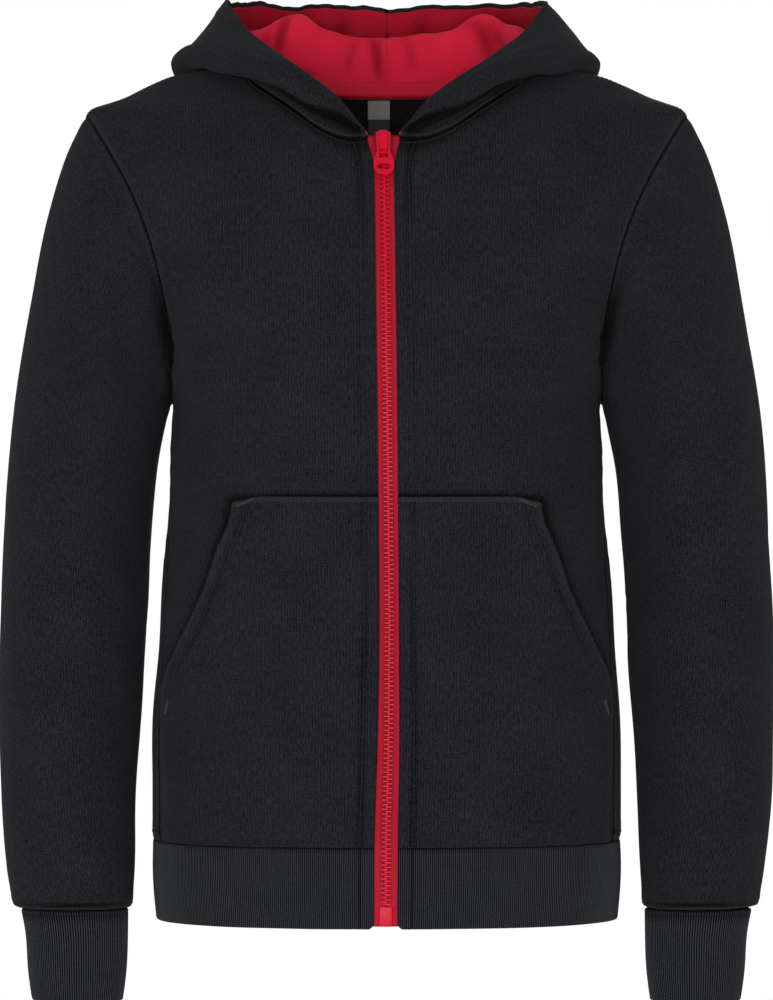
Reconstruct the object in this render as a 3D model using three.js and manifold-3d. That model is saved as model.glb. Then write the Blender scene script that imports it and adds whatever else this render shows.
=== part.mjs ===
// A child's zip-up hooded sweatshirt, filled out as it is when worn, with the hood down.
// Millimetres. +Z is up, +Y is the wearer's back, +X is the wearer's left.
// The origin is the middle of the neck, level with the high points of the shoulders.
import * as THREE from "three";
import Module from "manifold-3d";

const wasm = await Module();
wasm.setup();

// Driving dimensions
const FLEECE = 2.0; // body cloth
const HOOD_CLOTH = 1.8; // outer layer of the hood
const LINING_CLOTH = 1.2; // inner layer of the hood
const LINING_AIR = 0.6; // between the hood's two layers
const RIB_CLOTH = 2.2; // knitted rib of the hem and cuffs
const TAPE = 1.0; // woven tapes and labels
const GAP = 0.3; // between pieces at a seam
const HEM_SEAM = -494; // height of the seam between body and waistband
const HEM = -545; // lower edge of the waistband
const CUFF_SEAM = -538; // height of the seam between sleeve and cuff
const CUFF_END = -596.5; // lower edge of the cuff
const SQUARENESS = 2.3; // exponent of the body's sections: 2 is an ellipse
const NECK_TOP = -51.5; // height of the neckline at the zip
const ZIP_HALF = 6.0; // half the width of tape that shows between the fronts
const CHAIN_HALF = 3.2; // half the width of the closed teeth
const TAPE_EDGE = 14; // outer edge of each zip tape, from the middle
const TAPE_DEPTH = 3.3; // how far the tapes' faces lie behind the fronts' outer face
const CHAIN_RISE = 1.4; // how far the teeth stand forward of the tapes' faces
const CHAIN_THICK = 3.4; // the teeth's whole depth

// Mesh density
const ARMHOLE_STEPS = 10; // along the front armhole, and again along the back one
const SIDE_STEPS = 8; // along a side seam
const NECK_FRONT_STEPS = 7;
const NECK_BACK_STEPS = 6;
const SHOULDER_STEPS = 5;
const DENSE = 240; // points of a border before it is divided evenly

// Sections of the body: height, half width, and depth to the front and to the back.
const BODY = [
  { z: -545, half: 148.5, front: 90, back: 86 },
  { z: -494, half: 150, front: 94, back: 90 },
  { z: -444, half: 150, front: 97, back: 91 },
  { z: -367, half: 146, front: 100, back: 88 },
  { z: -265, half: 138, front: 102, back: 88 },
  { z: -213, half: 137.5, front: 102, back: 91 },
  { z: -183, half: 142, front: 101, back: 94 },
  { z: -152, half: 157, front: 98, back: 96 },
  { z: -115, half: 174, front: 91, back: 96.5 },
  { z: -76, half: 186, front: 81, back: 94 },
  { z: -50, half: 191, front: 70, back: 88 },
  { z: -31, half: 192, front: 54, back: 80 },
  { z: -20, half: 167, front: 42, back: 73 },
  { z: -12, half: 151, front: 31, back: 64 },
  { z: -6, half: 136, front: 21, back: 48 },
  { z: -2, half: 113, front: 11, back: 25 },
  { z: 0, half: 92, front: 3, back: 8 },
];

// Borders of the cut pieces, as seen from the front (x) or from the side (y).
const NECK_FRONT = [
  { x: 10.5, z: NECK_TOP },
  { x: 20, z: -51.8 },
  { x: 30, z: -49.8 },
  { x: 43, z: -43.5 },
  { x: 58, z: -32.5 },
  { x: 74, z: -21 },
  { x: 86.5, z: -11 },
  { x: 92, z: 0 },
];
const NECK_BACK = [
  { x: 92, z: 0 },
  { x: 88, z: -3 },
  { x: 75, z: -7 },
  { x: 55, z: -10 },
  { x: 30, z: -11.6 },
  { x: 0, z: -12 },
];
const ARMHOLE_FRONT = [
  { x: 192, z: -31 },
  { x: 165, z: -76 },
  { x: 149, z: -115 },
  { x: 140, z: -152 },
  { x: 135.5, z: -183 },
  { x: 136.3, z: -203 },
  { x: 137.5, z: -213 },
];
const ARMHOLE_BACK = [
  { x: 192, z: -31 },
  { x: 170, z: -76 },
  { x: 155, z: -115 },
  { x: 145, z: -152 },
  { x: 138.5, z: -183 },
  { x: 137.2, z: -203 },
  { x: 137.5, z: -213 },
];
const SIDE_SEAM = [
  { z: -494, y: -32 },
  { z: -405, y: -31 },
  { z: -330, y: -24 },
  { z: -260, y: -10 },
  { z: -213, y: 0 },
];
// The fronts' edges turn back at the neck, and part a little at the hem.
const FRONT_EDGE = [
  { z: -545, x: 6.6 },
  { z: -494, x: 7.2 },
  { z: -350, x: ZIP_HALF },
  { z: -76, x: ZIP_HALF },
  { z: -66, x: 6.8 },
  { z: -58, x: 8.5 },
  { z: NECK_TOP, x: 10.5 },
];

// Rings of the sleeve: its outer and inner lines as seen from the front, half its depth and its middle.
const SLEEVE = [
  { v: 0, outX: 192, outZ: -31, inX: 137.5, inZ: -213, half: 55, y: 0 },
  { v: 0.06, outX: 204.6, outZ: -55.5, inX: 139.6, inZ: -222, half: 55, y: 0 },
  { v: 0.14, outX: 217.5, outZ: -97, inX: 142.6, inZ: -236, half: 54, y: 0 },
  { v: 0.24, outX: 228, outZ: -151, inX: 146.2, inZ: -256, half: 53, y: 0 },
  { v: 0.34, outX: 236, outZ: -204, inX: 149.3, inZ: -282, half: 51, y: -1 },
  { v: 0.44, outX: 241.5, outZ: -257, inX: 151.4, inZ: -312, half: 49, y: -2 },
  { v: 0.55, outX: 245.4, outZ: -315, inX: 152.9, inZ: -350, half: 46.5, y: -4 },
  { v: 0.66, outX: 247.3, outZ: -372, inX: 155.3, inZ: -391, half: 43.5, y: -6 },
  { v: 0.77, outX: 247.3, outZ: -428, inX: 158.4, inZ: -437, half: 40.5, y: -8 },
  { v: 0.86, outX: 246, outZ: -470, inX: 160.1, inZ: -475, half: 37.5, y: -9.5 },
  { v: 0.93, outX: 242.8, outZ: -503, inX: 161, inZ: -506, half: 34, y: -10.5 },
  { v: 0.975, outX: 239.6, outZ: -525, inX: 162.2, inZ: -527, half: 31, y: -11 },
  { v: 0.988, outX: 237.6, outZ: -534.6, inX: 162.8, inZ: -535.2, half: 29, y: -11 },
  { v: 1, outX: 233.4, outZ: CUFF_SEAM, inX: 164.5, inZ: CUFF_SEAM, half: 25.8, y: -11 },
];
const CUFF = [
  { z: CUFF_SEAM, outX: 233.2, inX: 164.6, half: 25.5, y: -11 },
  { z: -552, outX: 230, inX: 165.2, half: 24.5, y: -11.4 },
  { z: -580, outX: 227.8, inX: 166.4, half: 22.5, y: -12 },
  { z: CUFF_END, outX: 226, inX: 168, half: 20.5, y: -12.4 },
];

// Lines that run along the hood's outer face from the zip (s = 0) past the high point of the
// shoulder (s = 0.5) to the middle of the back (s = 1).
const HOOD_LINES = {
  roll: [
    { s: 0, x: 10.7, y: -71.2, z: -50.5 },
    { s: 0.15, x: 41, y: -64.5, z: -40.5 },
    { s: 0.3, x: 75, y: -44, z: -18 },
    { s: 0.4, x: 93, y: -26.5, z: -5.5 },
    { s: 0.5, x: 99, y: 4, z: 9 },
    { s: 0.65, x: 86, y: 42, z: 21 },
    { s: 0.72, x: 74.5, y: 58, z: 28 },
    { s: 0.79, x: 60, y: 71.5, z: 38.5 },
    { s: 0.86, x: 40, y: 77, z: 26 },
    { s: 0.93, x: 20, y: 80.5, z: 23.5 },
    { s: 1, x: 0, y: 81.5, z: 23 },
  ],
  inner: [
    { s: 0, x: 11, y: -71.8, z: -49.4 },
    { s: 0.15, x: 43, y: -66.5, z: -36 },
    { s: 0.3, x: 79.5, y: -48, z: -12.5 },
    { s: 0.4, x: 103, y: -29, z: -6 },
    { s: 0.5, x: 114, y: 5, z: 1.5 },
    { s: 0.65, x: 106, y: 57, z: 0 },
    { s: 0.8, x: 73, y: 94, z: -22 },
    { s: 0.9, x: 37, y: 97.5, z: -36 },
    { s: 1, x: 0, y: 99.5, z: -42 },
  ],
  floor_in: [
    { s: 0, x: 11.3, y: -72.1, z: -48.6 },
    { s: 0.15, x: 42.5, y: -66.6, z: -32.5 },
    { s: 0.3, x: 81.5, y: -47.5, z: -6 },
    { s: 0.4, x: 110.5, y: -26.5, z: -3.5 },
    { s: 0.5, x: 123, y: 8, z: -0.8 },
    { s: 0.65, x: 116, y: 69, z: -16 },
    { s: 0.8, x: 82.5, y: 109, z: -104 },
    { s: 0.9, x: 42, y: 109, z: -143 },
    { s: 1, x: 0, y: 111, z: -156 },
  ],
  floor_out: [
    { s: 0, x: 11.7, y: -72.6, z: -47.2 },
    { s: 0.15, x: 40.2, y: -65, z: -27.8 },
    { s: 0.3, x: 82, y: -43.5, z: 0.5 },
    { s: 0.4, x: 116, y: -18.5, z: 4 },
    { s: 0.5, x: 134.5, y: 13.5, z: 5 },
    { s: 0.65, x: 131, y: 81, z: -15 },
    { s: 0.8, x: 91.5, y: 121, z: -104 },
    { s: 0.9, x: 46.5, y: 126, z: -143 },
    { s: 1, x: 0, y: 128, z: -156 },
  ],
  wall: [
    { s: 0, x: 12, y: -72.6, z: -46.1 },
    { s: 0.15, x: 37, y: -63.5, z: -25 },
    { s: 0.3, x: 78, y: -38.5, z: 4 },
    { s: 0.4, x: 109, y: -12, z: 14 },
    { s: 0.5, x: 124, y: 22, z: 20 },
    { s: 0.65, x: 125.5, y: 80, z: 7 },
    { s: 0.8, x: 94, y: 123, z: -32 },
    { s: 0.9, x: 50, y: 134, z: -52 },
    { s: 1, x: 0, y: 138, z: -60 },
  ],
  rim: [
    { s: 0, x: 12.5, y: -72.4, z: -44.4 },
    { s: 0.15, x: 31.5, y: -60, z: -21.5 },
    { s: 0.3, x: 66.5, y: -33, z: 5 },
    { s: 0.4, x: 88, y: -5, z: 23 },
    { s: 0.5, x: 102, y: 30, z: 43.5 },
    { s: 0.65, x: 100, y: 73, z: 49 },
    { s: 0.8, x: 74, y: 104, z: 51.5 },
    { s: 0.9, x: 38, y: 115, z: 50.5 },
    { s: 1, x: 0, y: 119, z: 51 },
  ],
};
const HOOD_KNOTS = { neck: 0, roll: 0.1, inner: 0.26, floor_in: 0.48, floor_out: 0.57, wall: 0.77, rim: 1 };
const HOOD_ROWS = [0, 0.045, 0.085, 0.125, 0.18, 0.27, 0.38, 0.46, 0.5, 0.55, 0.6, 0.68, 0.78, 0.89, 1];
const RIM_BORDER = 2.6; // outer cloth that shows past the lining at the rim

// Soft troughs (depth below zero) and ridges of the body, along lines seen from the front or back.
const FOLD_CLEAR = 16; // folds die out over this distance from the side
const BODY_FOLDS = [
  { face: -1, x1: 136, z1: -208, x2: 104, z2: -262, width: 15, depth: -3.2 },
  { face: -1, x1: -136, z1: -206, x2: -108, z2: -252, width: 13, depth: -2.6 },
  { face: -1, x1: 128, z1: -160, x2: 120, z2: -216, width: 16, depth: 2.2 },
  { face: -1, x1: -127, z1: -166, x2: -121, z2: -214, width: 15, depth: 2.0 },
  { face: -1, x1: 122, z1: -480, x2: 70, z2: -486, width: 12, depth: 1.6 },
  { face: -1, x1: -116, z1: -482, x2: -62, z2: -487, width: 12, depth: 1.4 },
  { face: 1, x1: 132, z1: -212, x2: 92, z2: -268, width: 16, depth: -3.4 },
  { face: 1, x1: -132, z1: -210, x2: -98, z2: -256, width: 15, depth: -3.0 },
  { face: 1, x1: 70, z1: -405, x2: -20, z2: -428, width: 20, depth: -2.6 },
  { face: 1, x1: -88, z1: -452, x2: -10, z2: -466, width: 17, depth: 2.4 },
];
// Folds of a sleeve: along v (0 armhole, 1 cuff) and round it (0 outer line, 0.25 front, 0.5 inner, 0.75 back).
const SLEEVE_FOLDS = [
  { side: 1, v1: 0.06, u1: 0.4, v2: 0.2, u2: 0.2, width: 0.05, depth: -3.0 },
  { side: -1, v1: 0.07, u1: 0.4, v2: 0.18, u2: 0.22, width: 0.05, depth: -2.6 },
  { side: 1, v1: 0.48, u1: 0.5, v2: 0.53, u2: 0.3, width: 0.035, depth: -2.8 },
  { side: -1, v1: 0.5, u1: 0.5, v2: 0.46, u2: 0.32, width: 0.035, depth: -2.4 },
  { side: 1, v1: 0.55, u1: 0.5, v2: 0.6, u2: 0.68, width: 0.04, depth: -2.6 },
  { side: -1, v1: 0.52, u1: 0.52, v2: 0.6, u2: 0.7, width: 0.04, depth: -2.8 },
  { side: 1, v1: 0.9, u1: 0.12, v2: 0.93, u2: 0.42, width: 0.03, depth: 2.0 },
  { side: -1, v1: 0.91, u1: 0.08, v2: 0.93, u2: 0.4, width: 0.03, depth: 2.2 },
];

// The pocket's slanted mouth and side, from its top corner down to the waistband.
const POCKET_TOP = -274.5;
const POCKET_SIDE = [
  { x: 93.5, z: POCKET_TOP },
  { x: 95.4, z: -278 },
  { x: 97, z: -290 },
  { x: 104.5, z: -311 },
  { x: 111.5, z: -333 },
  { x: 119.5, z: -351 },
  { x: 128, z: -369 },
  { x: 136, z: -386 },
  { x: 140.3, z: -401 },
  { x: 141.6, z: -412 },
  { x: 140.6, z: -450 },
  { x: 139.4, z: -493.5 },
];
const POCKET_LIFT = 1.4; // how far the mouth stands off the front
const POCKET_AIR = 0.9; // between the pocket and the front
const POCKET_COLUMNS = 12;
const POCKET_ROWS = 13;
const MOUTH_END = -405; // height at which the mouth's lower end is caught down

// The zip runs a little off the middle: to the wearer's right at the neck, to the left at the pocket.
const WANDER = [
  { z: -545, x: -0.6 },
  { z: -494, x: -0.3 },
  { z: -430, x: 1.2 },
  { z: -360, x: 1.7 },
  { z: -250, x: 0.8 },
  { z: -120, x: -0.8 },
  { z: -40, x: -2.2 },
];
const WANDER_REACH = 75; // half width of the strip that goes with it

const V = (x, y, z) => new THREE.Vector3(x, y, z);
const clamp = (value, low, high) => Math.min(high, Math.max(low, value));
const fade = (t) => t * t * (3 - 2 * t);
const mirrored = (point, side) => V(point.x * side, point.y, point.z);

// A cubic through a table's column. Tight keeps it between its neighbours.
function through(rows, key, column, tight = true) {
  const x = rows.map((row) => row[key]);
  const y = rows.map((row) => row[column]);
  const last = x.length - 1;
  const slope = (i) => (y[i + 1] - y[i]) / (x[i + 1] - x[i]);
  const tangent = y.map((_, i) => {
    if (i === 0) return slope(0);
    if (i === last) return slope(last - 1);
    const before = slope(i - 1);
    const after = slope(i);
    if (tight) return before * after <= 0 ? 0 : (2 * before * after) / (before + after);
    const left = x[i] - x[i - 1];
    const right = x[i + 1] - x[i];
    return (before * right + after * left) / (left + right);
  });
  return (at) => {
    let i = 0;
    while (i < last - 1 && at > x[i + 1]) i++;
    const span = x[i + 1] - x[i];
    const t = clamp((at - x[i]) / span, 0, 1);
    const t2 = t * t;
    const t3 = t2 * t;
    return (
      (2 * t3 - 3 * t2 + 1) * y[i] +
      (t3 - 2 * t2 + t) * span * tangent[i] +
      (3 * t2 - 2 * t3) * y[i + 1] +
      (t3 - t2) * span * tangent[i + 1]
    );
  };
}

const bodyHalf = through(BODY, "z", "half");
const bodyFront = through(BODY, "z", "front");
const bodyBack = through(BODY, "z", "back");
const bodyDepth = (face, z) => (face < 0 ? bodyFront(z) : bodyBack(z));

// The body's surface at a height: |x / half|^n + |y / depth|^n = 1.
function depthAt(x, z, face) {
  const share = Math.pow(Math.abs(x) / bodyHalf(z), SQUARENESS);
  return face * bodyDepth(face, z) * Math.pow(Math.max(0, 1 - share), 1 / SQUARENESS);
}
function widthAt(y, z) {
  const share = Math.pow(Math.abs(y) / bodyDepth(Math.sign(y) || 1, z), SQUARENESS);
  return bodyHalf(z) * Math.pow(Math.max(0, 1 - share), 1 / SQUARENESS);
}
// A point moved level with itself, away from the middle, onto the body's surface.
function ontoBody(point) {
  const face = point.y < 0 ? -1 : 1;
  const u = Math.pow(Math.abs(point.x) / bodyHalf(point.z), SQUARENESS);
  const w = Math.pow(Math.abs(point.y) / bodyDepth(face, point.z), SQUARENESS);
  const radius = Math.pow(u + w, 1 / SQUARENESS);
  return V(point.x / radius, point.y / radius, point.z);
}
// The body's outward normal, from the gradient of its section rule.
function bodyNormal(point) {
  const face = point.y < 0 ? -1 : 1;
  const value = (p) =>
    Math.pow(Math.abs(p.x) / bodyHalf(p.z), SQUARENESS) +
    Math.pow(Math.abs(p.y) / bodyDepth(face, p.z), SQUARENESS);
  const step = 0.2;
  const slope = (d) => value(point.clone().add(d)) - value(point.clone().sub(d));
  const up = Math.min(0, point.z + step) - (point.z - step);
  const rise =
    (value(V(point.x, point.y, Math.min(0, point.z + step))) - value(V(point.x, point.y, point.z - step))) / up;
  return V(slope(V(step, 0, 0)) / (2 * step), slope(V(0, step, 0)) / (2 * step), rise).normalize();
}
// Height of the folds at a point: each is a soft bump across its line that fades at both ends.
function foldsAt(point) {
  let sum = 0;
  for (const fold of BODY_FOLDS) {
    if (Math.sign(point.y) !== fold.face) continue;
    sum += bump(point.x, point.z, fold.x1, fold.z1, fold.x2, fold.z2, fold.width) * fold.depth;
  }
  return sum * fade(clamp((bodyHalf(point.z) - Math.abs(point.x)) / FOLD_CLEAR, 0, 1));
}
function bump(x, z, x1, z1, x2, z2, width) {
  const dx = x2 - x1;
  const dz = z2 - z1;
  const length = Math.hypot(dx, dz);
  const along = ((x - x1) * dx + (z - z1) * dz) / (length * length);
  const across = ((x - x1) * dz - (z - z1) * dx) / length;
  const ends = along <= 0 || along >= 1 ? 0 : Math.sin(Math.PI * along);
  return Math.exp(-Math.pow(across / width, 2)) * Math.sqrt(ends);
}
function bodySkin(point, moved = 0) {
  const base = ontoBody(point);
  const normal = bodyNormal(base);
  return base.addScaledVector(normal, foldsAt(base) + moved);
}

// A line divided into equal lengths, both ends kept.
function divided(points, steps) {
  const along = [0];
  for (let i = 1; i < points.length; i++) along.push(along[i - 1] + points[i].distanceTo(points[i - 1]));
  const total = along[along.length - 1];
  const made = [];
  let k = 0;
  for (let i = 0; i <= steps; i++) {
    const at = (total * i) / steps;
    while (k < points.length - 2 && along[k + 1] < at) k++;
    const share = clamp((at - along[k]) / (along[k + 1] - along[k]), 0, 1);
    made.push(points[k].clone().lerp(points[k + 1], share));
  }
  return made;
}
const range = (steps) => Array.from({ length: steps + 1 }, (_, i) => i / steps);

// A border given by its x and z, on the front or back of the body, evenly divided.
function borderOnBody(rows, face, steps) {
  const knots = rows.map((row, i) => ({ i, ...row }));
  const x = through(knots, "i", "x", false);
  const z = through(knots, "i", "z", false);
  const dense = range(DENSE).map((t) => {
    const at = t * (rows.length - 1);
    const height = Math.min(0, z(at));
    return V(x(at), depthAt(x(at), height, face), height);
  });
  return divided(dense, steps);
}
function sideSeam(steps) {
  const y = through(SIDE_SEAM, "z", "y");
  const dense = range(DENSE).map((t) => {
    const z = SIDE_SEAM[0].z + t * (SIDE_SEAM[SIDE_SEAM.length - 1].z - SIDE_SEAM[0].z);
    return V(widthAt(y(z), z), y(z), z);
  });
  return divided(dense, steps);
}
function shoulderSeam(steps) {
  const tip = ARMHOLE_FRONT[0].z;
  const dense = range(DENSE).map((t) => V(bodyHalf(t * tip), 0, t * tip));
  return divided(dense, steps);
}
const frontEdgeX = through(FRONT_EDGE, "z", "x");
function frontEdge(steps) {
  const dense = range(DENSE).map((t) => {
    const z = HEM_SEAM + t * (NECK_TOP - HEM_SEAM);
    return V(frontEdgeX(z), depthAt(frontEdgeX(z), z, -1), z);
  });
  return divided(dense, steps);
}
// Where the body's lower edge runs level between two points of the section.
function hemArc(from, to, face, steps) {
  const turn = (p) => Math.atan2(p.y / bodyDepth(face, p.z), p.x / bodyHalf(p.z));
  const start = turn(from);
  const end = turn(to);
  const dense = range(DENSE).map((t) => {
    const angle = start + t * (end - start);
    const y = Math.sin(angle);
    return ontoBody(V(Math.cos(angle) * 100, y * 60, from.z));
  });
  return divided(dense, steps);
}

// A patch between four borders (Coons), each point then moved onto the body.
function patch(bottom, top, left, right) {
  const rows = left.length - 1;
  const columns = bottom.length - 1;
  return left.map((_, i) =>
    bottom.map((_, j) => {
      if (i === 0) return bottom[j].clone();
      if (i === rows) return top[j].clone();
      if (j === 0) return left[i].clone();
      if (j === columns) return right[i].clone();
      const v = i / rows;
      const u = j / columns;
      const p = V(0, 0, 0)
        .addScaledVector(bottom[j], 1 - v)
        .addScaledVector(top[j], v)
        .addScaledVector(left[i], 1 - u)
        .addScaledVector(right[i], u)
        .addScaledVector(bottom[0], -(1 - u) * (1 - v))
        .addScaledVector(bottom[columns], -u * (1 - v))
        .addScaledVector(top[0], -(1 - u) * v)
        .addScaledVector(top[columns], -u * v);
      p.z = Math.min(p.z, -0.3);
      return ontoBody(p);
    }),
  );
}

// Normals of a grid of points, from the differences between neighbours.
function gridNormals(grid, around = false) {
  const rows = grid.length;
  const columns = grid[0].length;
  return grid.map((row, i) =>
    row.map((_, j) => {
      const before = around ? (j + columns - 1) % columns : Math.max(0, j - 1);
      const after = around ? (j + 1) % columns : Math.min(columns - 1, j + 1);
      const across = grid[i][after].clone().sub(grid[i][before]);
      const along = grid[Math.min(rows - 1, i + 1)][j].clone().sub(grid[Math.max(0, i - 1)][j]);
      return across.cross(along).normalize();
    }),
  );
}

const wander = through(WANDER, "z", "x");
function wandered(p) {
  if (p.y > -30) return p;
  const reach = fade(clamp(1 - Math.abs(p.x) / WANDER_REACH, 0, 1)) * fade(clamp((-30 - p.y) / 25, 0, 1));
  return V(p.x + wander(p.z) * reach, p.y, p.z);
}
function solid(points, faces) {
  const vertices = points.map(wandered);
  let volume = 0;
  for (const [a, b, c] of faces) volume += vertices[a].dot(vertices[b].clone().cross(vertices[c]));
  const geometry = new THREE.BufferGeometry();
  const flat = new Float32Array(vertices.flatMap((p) => [p.x, p.y, p.z]));
  geometry.setAttribute("position", new THREE.BufferAttribute(flat, 3));
  geometry.setIndex(faces.flatMap(([a, b, c]) => (volume < 0 ? [a, c, b] : [a, b, c])));
  return geometry;
}
// A cloth wall: a grid of outer points, and the same grid moved by the vectors of inward.
// The faces of its edges are split the same way as those of the piece sewn to it.
function wall(outer, inward, around = false, turnedEdges = 0) {
  const rows = outer.length;
  const columns = outer[0].length;
  const count = rows * columns;
  const inner = outer.map((row, i) => row.map((p, j) => p.clone().add(inward[i][j])));
  const vertices = [...outer.flat(), ...inner.flat()];
  const at = (i, j) => i * columns + (j % columns);
  const faces = [];
  const quad = (a, b, c, d) => faces.push([a, b, c], [a, c, d]);
  const quadTurned = (a, b, c, d) => faces.push([a, b, d], [b, c, d]);
  const wide = around ? columns : columns - 1;
  for (let i = 0; i < rows - 1; i++) {
    for (let j = 0; j < wide; j++) {
      const [a, b, c, d] = [at(i, j), at(i, j + 1), at(i + 1, j + 1), at(i + 1, j)];
      quad(a, b, c, d);
      faces.push([a + count, c + count, b + count], [a + count, d + count, c + count]);
    }
  }
  for (let j = 0; j < wide; j++) {
    const edge = j < turnedEdges ? quadTurned : quad;
    edge(at(0, j + 1), at(0, j), at(0, j) + count, at(0, j + 1) + count);
    quad(at(rows - 1, j), at(rows - 1, j + 1), at(rows - 1, j + 1) + count, at(rows - 1, j) + count);
  }
  for (let i = 0; i < rows - 1 && !around; i++) {
    quadTurned(at(i, 0), at(i + 1, 0), at(i + 1, 0) + count, at(i, 0) + count);
    quad(at(i + 1, wide), at(i, wide), at(i, wide) + count, at(i + 1, wide) + count);
  }
  return solid(vertices, faces);
}
// Sleeve
const sleeveAt = Object.fromEntries(
  ["outX", "outZ", "inX", "inZ", "half", "y"].map((name) => [name, through(SLEEVE, "v", name, false)]),
);
const ARMHOLE_REACH = 0.42; // share of the sleeve over which the armhole's shape fades to an oval
const SLEEVE_ROWS = [0, 0.035, 0.075, 0.125, 0.18, 0.24, 0.3, 0.37, 0.44, 0.51, 0.58, 0.65, 0.72, 0.79, 0.86, 0.93, 0.975, 0.988, 1];
function sleeveOval(v, turn) {
  const top = V(sleeveAt.outX(v), sleeveAt.y(v), sleeveAt.outZ(v));
  const low = V(sleeveAt.inX(v), sleeveAt.y(v), sleeveAt.inZ(v));
  return low
    .clone()
    .lerp(top, (1 + Math.cos(turn)) / 2)
    .add(V(0, -sleeveAt.half(v) * Math.sin(turn), 0));
}
// The armhole as a loop: front from the shoulder to the armpit, then back up behind.
function armholeLoop() {
  const front = borderOnBody(ARMHOLE_FRONT, -1, ARMHOLE_STEPS);
  const back = borderOnBody(ARMHOLE_BACK, 1, ARMHOLE_STEPS);
  return [...front, ...back.slice(1, -1).reverse()];
}
function sleeveGrid(loop, side) {
  const count = loop.length;
  const grid = SLEEVE_ROWS.map((v) =>
    loop.map((edge, k) => {
      const turn = (2 * Math.PI * k) / count;
      const pull = edge.clone().sub(sleeveOval(0, turn));
      const keep = v >= ARMHOLE_REACH ? 0 : Math.pow(1 - v / ARMHOLE_REACH, 2.2);
      return sleeveOval(v, turn).addScaledVector(pull, keep);
    }),
  );
  const normals = gridNormals(grid, true);
  return grid.map((row, i) =>
    row.map((p, k) => {
      const v = SLEEVE_ROWS[i];
      let height = 0;
      for (const fold of SLEEVE_FOLDS) {
        if (fold.side !== side) continue;
        height += bump(k / count, v, fold.u1, fold.v1, fold.u2, fold.v2, fold.width) * fold.depth;
      }
      return p.clone().addScaledVector(normals[i][k], height * fade(clamp(v / 0.14, 0, 1)));
    }),
  );
}
// At the armhole both walls end on one plane: across points from body to sleeve, inward into the garment.
function armholeMitre(loop, grid) {
  const normals = gridNormals(grid, true);
  const count = loop.length;
  return loop.map((point, k) => {
    const along = loop[(k + 1) % count].clone().sub(loop[(k + count - 1) % count]).normalize();
    const bodyOut = bodyNormal(ontoBody(point));
    const sleeveOut = normals[0][k];
    const leave = along.clone().cross(bodyOut).normalize();
    const enter = grid[1][k].clone().sub(grid[0][k]).projectOnPlane(along).normalize();
    if (leave.dot(V(1, 0, 0.3)) < 0 && k !== ARMHOLE_STEPS) leave.negate();
    if (k === ARMHOLE_STEPS) leave.set(0, 0, 1);
    const across = leave.clone().add(enter).normalize();
    const inward = along.clone().cross(across).normalize();
    if (inward.dot(bodyOut.clone().add(sleeveOut)) > 0) inward.negate();
    return { across, inward };
  });
}

const materials = {
  fleece: new THREE.MeshStandardMaterial({ color: 0x1d1f23, roughness: 0.92, metalness: 0 }),
  rib: new THREE.MeshStandardMaterial({ color: 0x1f2125, roughness: 0.95, metalness: 0 }),
  red: new THREE.MeshStandardMaterial({ color: 0xc4122f, roughness: 0.85, metalness: 0 }),
  zip: new THREE.MeshStandardMaterial({ color: 0xd3122f, roughness: 0.5, metalness: 0 }),
  grey: new THREE.MeshStandardMaterial({ color: 0x9a9a96, roughness: 0.6, metalness: 0 }),
  black: new THREE.MeshStandardMaterial({ color: 0x101012, roughness: 0.6, metalness: 0 }),
};
const hoodie = new THREE.Group();
function add(name, geometry, material) {
  const mesh = new THREE.Mesh(geometry, material);
  mesh.name = name;
  hoodie.add(mesh);
}

// Body panels
const SIDES = [
  { name: "left", side: 1 },
  { name: "right", side: -1 },
];
const loop = armholeLoop();
const armSeam = armholeMitre(loop, sleeveGrid(loop, 1));
const side = sideSeam(SIDE_STEPS);
const shoulder = shoulderSeam(SHOULDER_STEPS);
const neckFront = borderOnBody(NECK_FRONT, -1, NECK_FRONT_STEPS);
const neckBack = borderOnBody(NECK_BACK, 1, NECK_BACK_STEPS);
const armRow = (k) => SIDE_STEPS + ARMHOLE_STEPS - k; // panel row of the armhole's k-th point

const frontOuter = [...side, ...loop.slice(0, ARMHOLE_STEPS).reverse()];
const backOuter = [...side, ...[loop[0], ...loop.slice(ARMHOLE_STEPS + 1).reverse()].reverse()];

// Moves a panel's armhole border half a gap off the seam, and turns its thickness to the shared plane.
function fitArmhole(grid, inward, column, points) {
  for (const { k, row } of points) {
    grid[row][column] = loop[k].clone().addScaledVector(armSeam[k].across, -GAP / 2);
    inward[row][column] = armSeam[k].inward.clone().multiplyScalar(FLEECE);
  }
}
const frontArmPoints = range(ARMHOLE_STEPS).map((_, k) => ({ k, row: armRow(k) }));
const backArmPoints = frontArmPoints.map(({ k, row }) => ({ k: (loop.length - k) % loop.length, row }));

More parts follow.
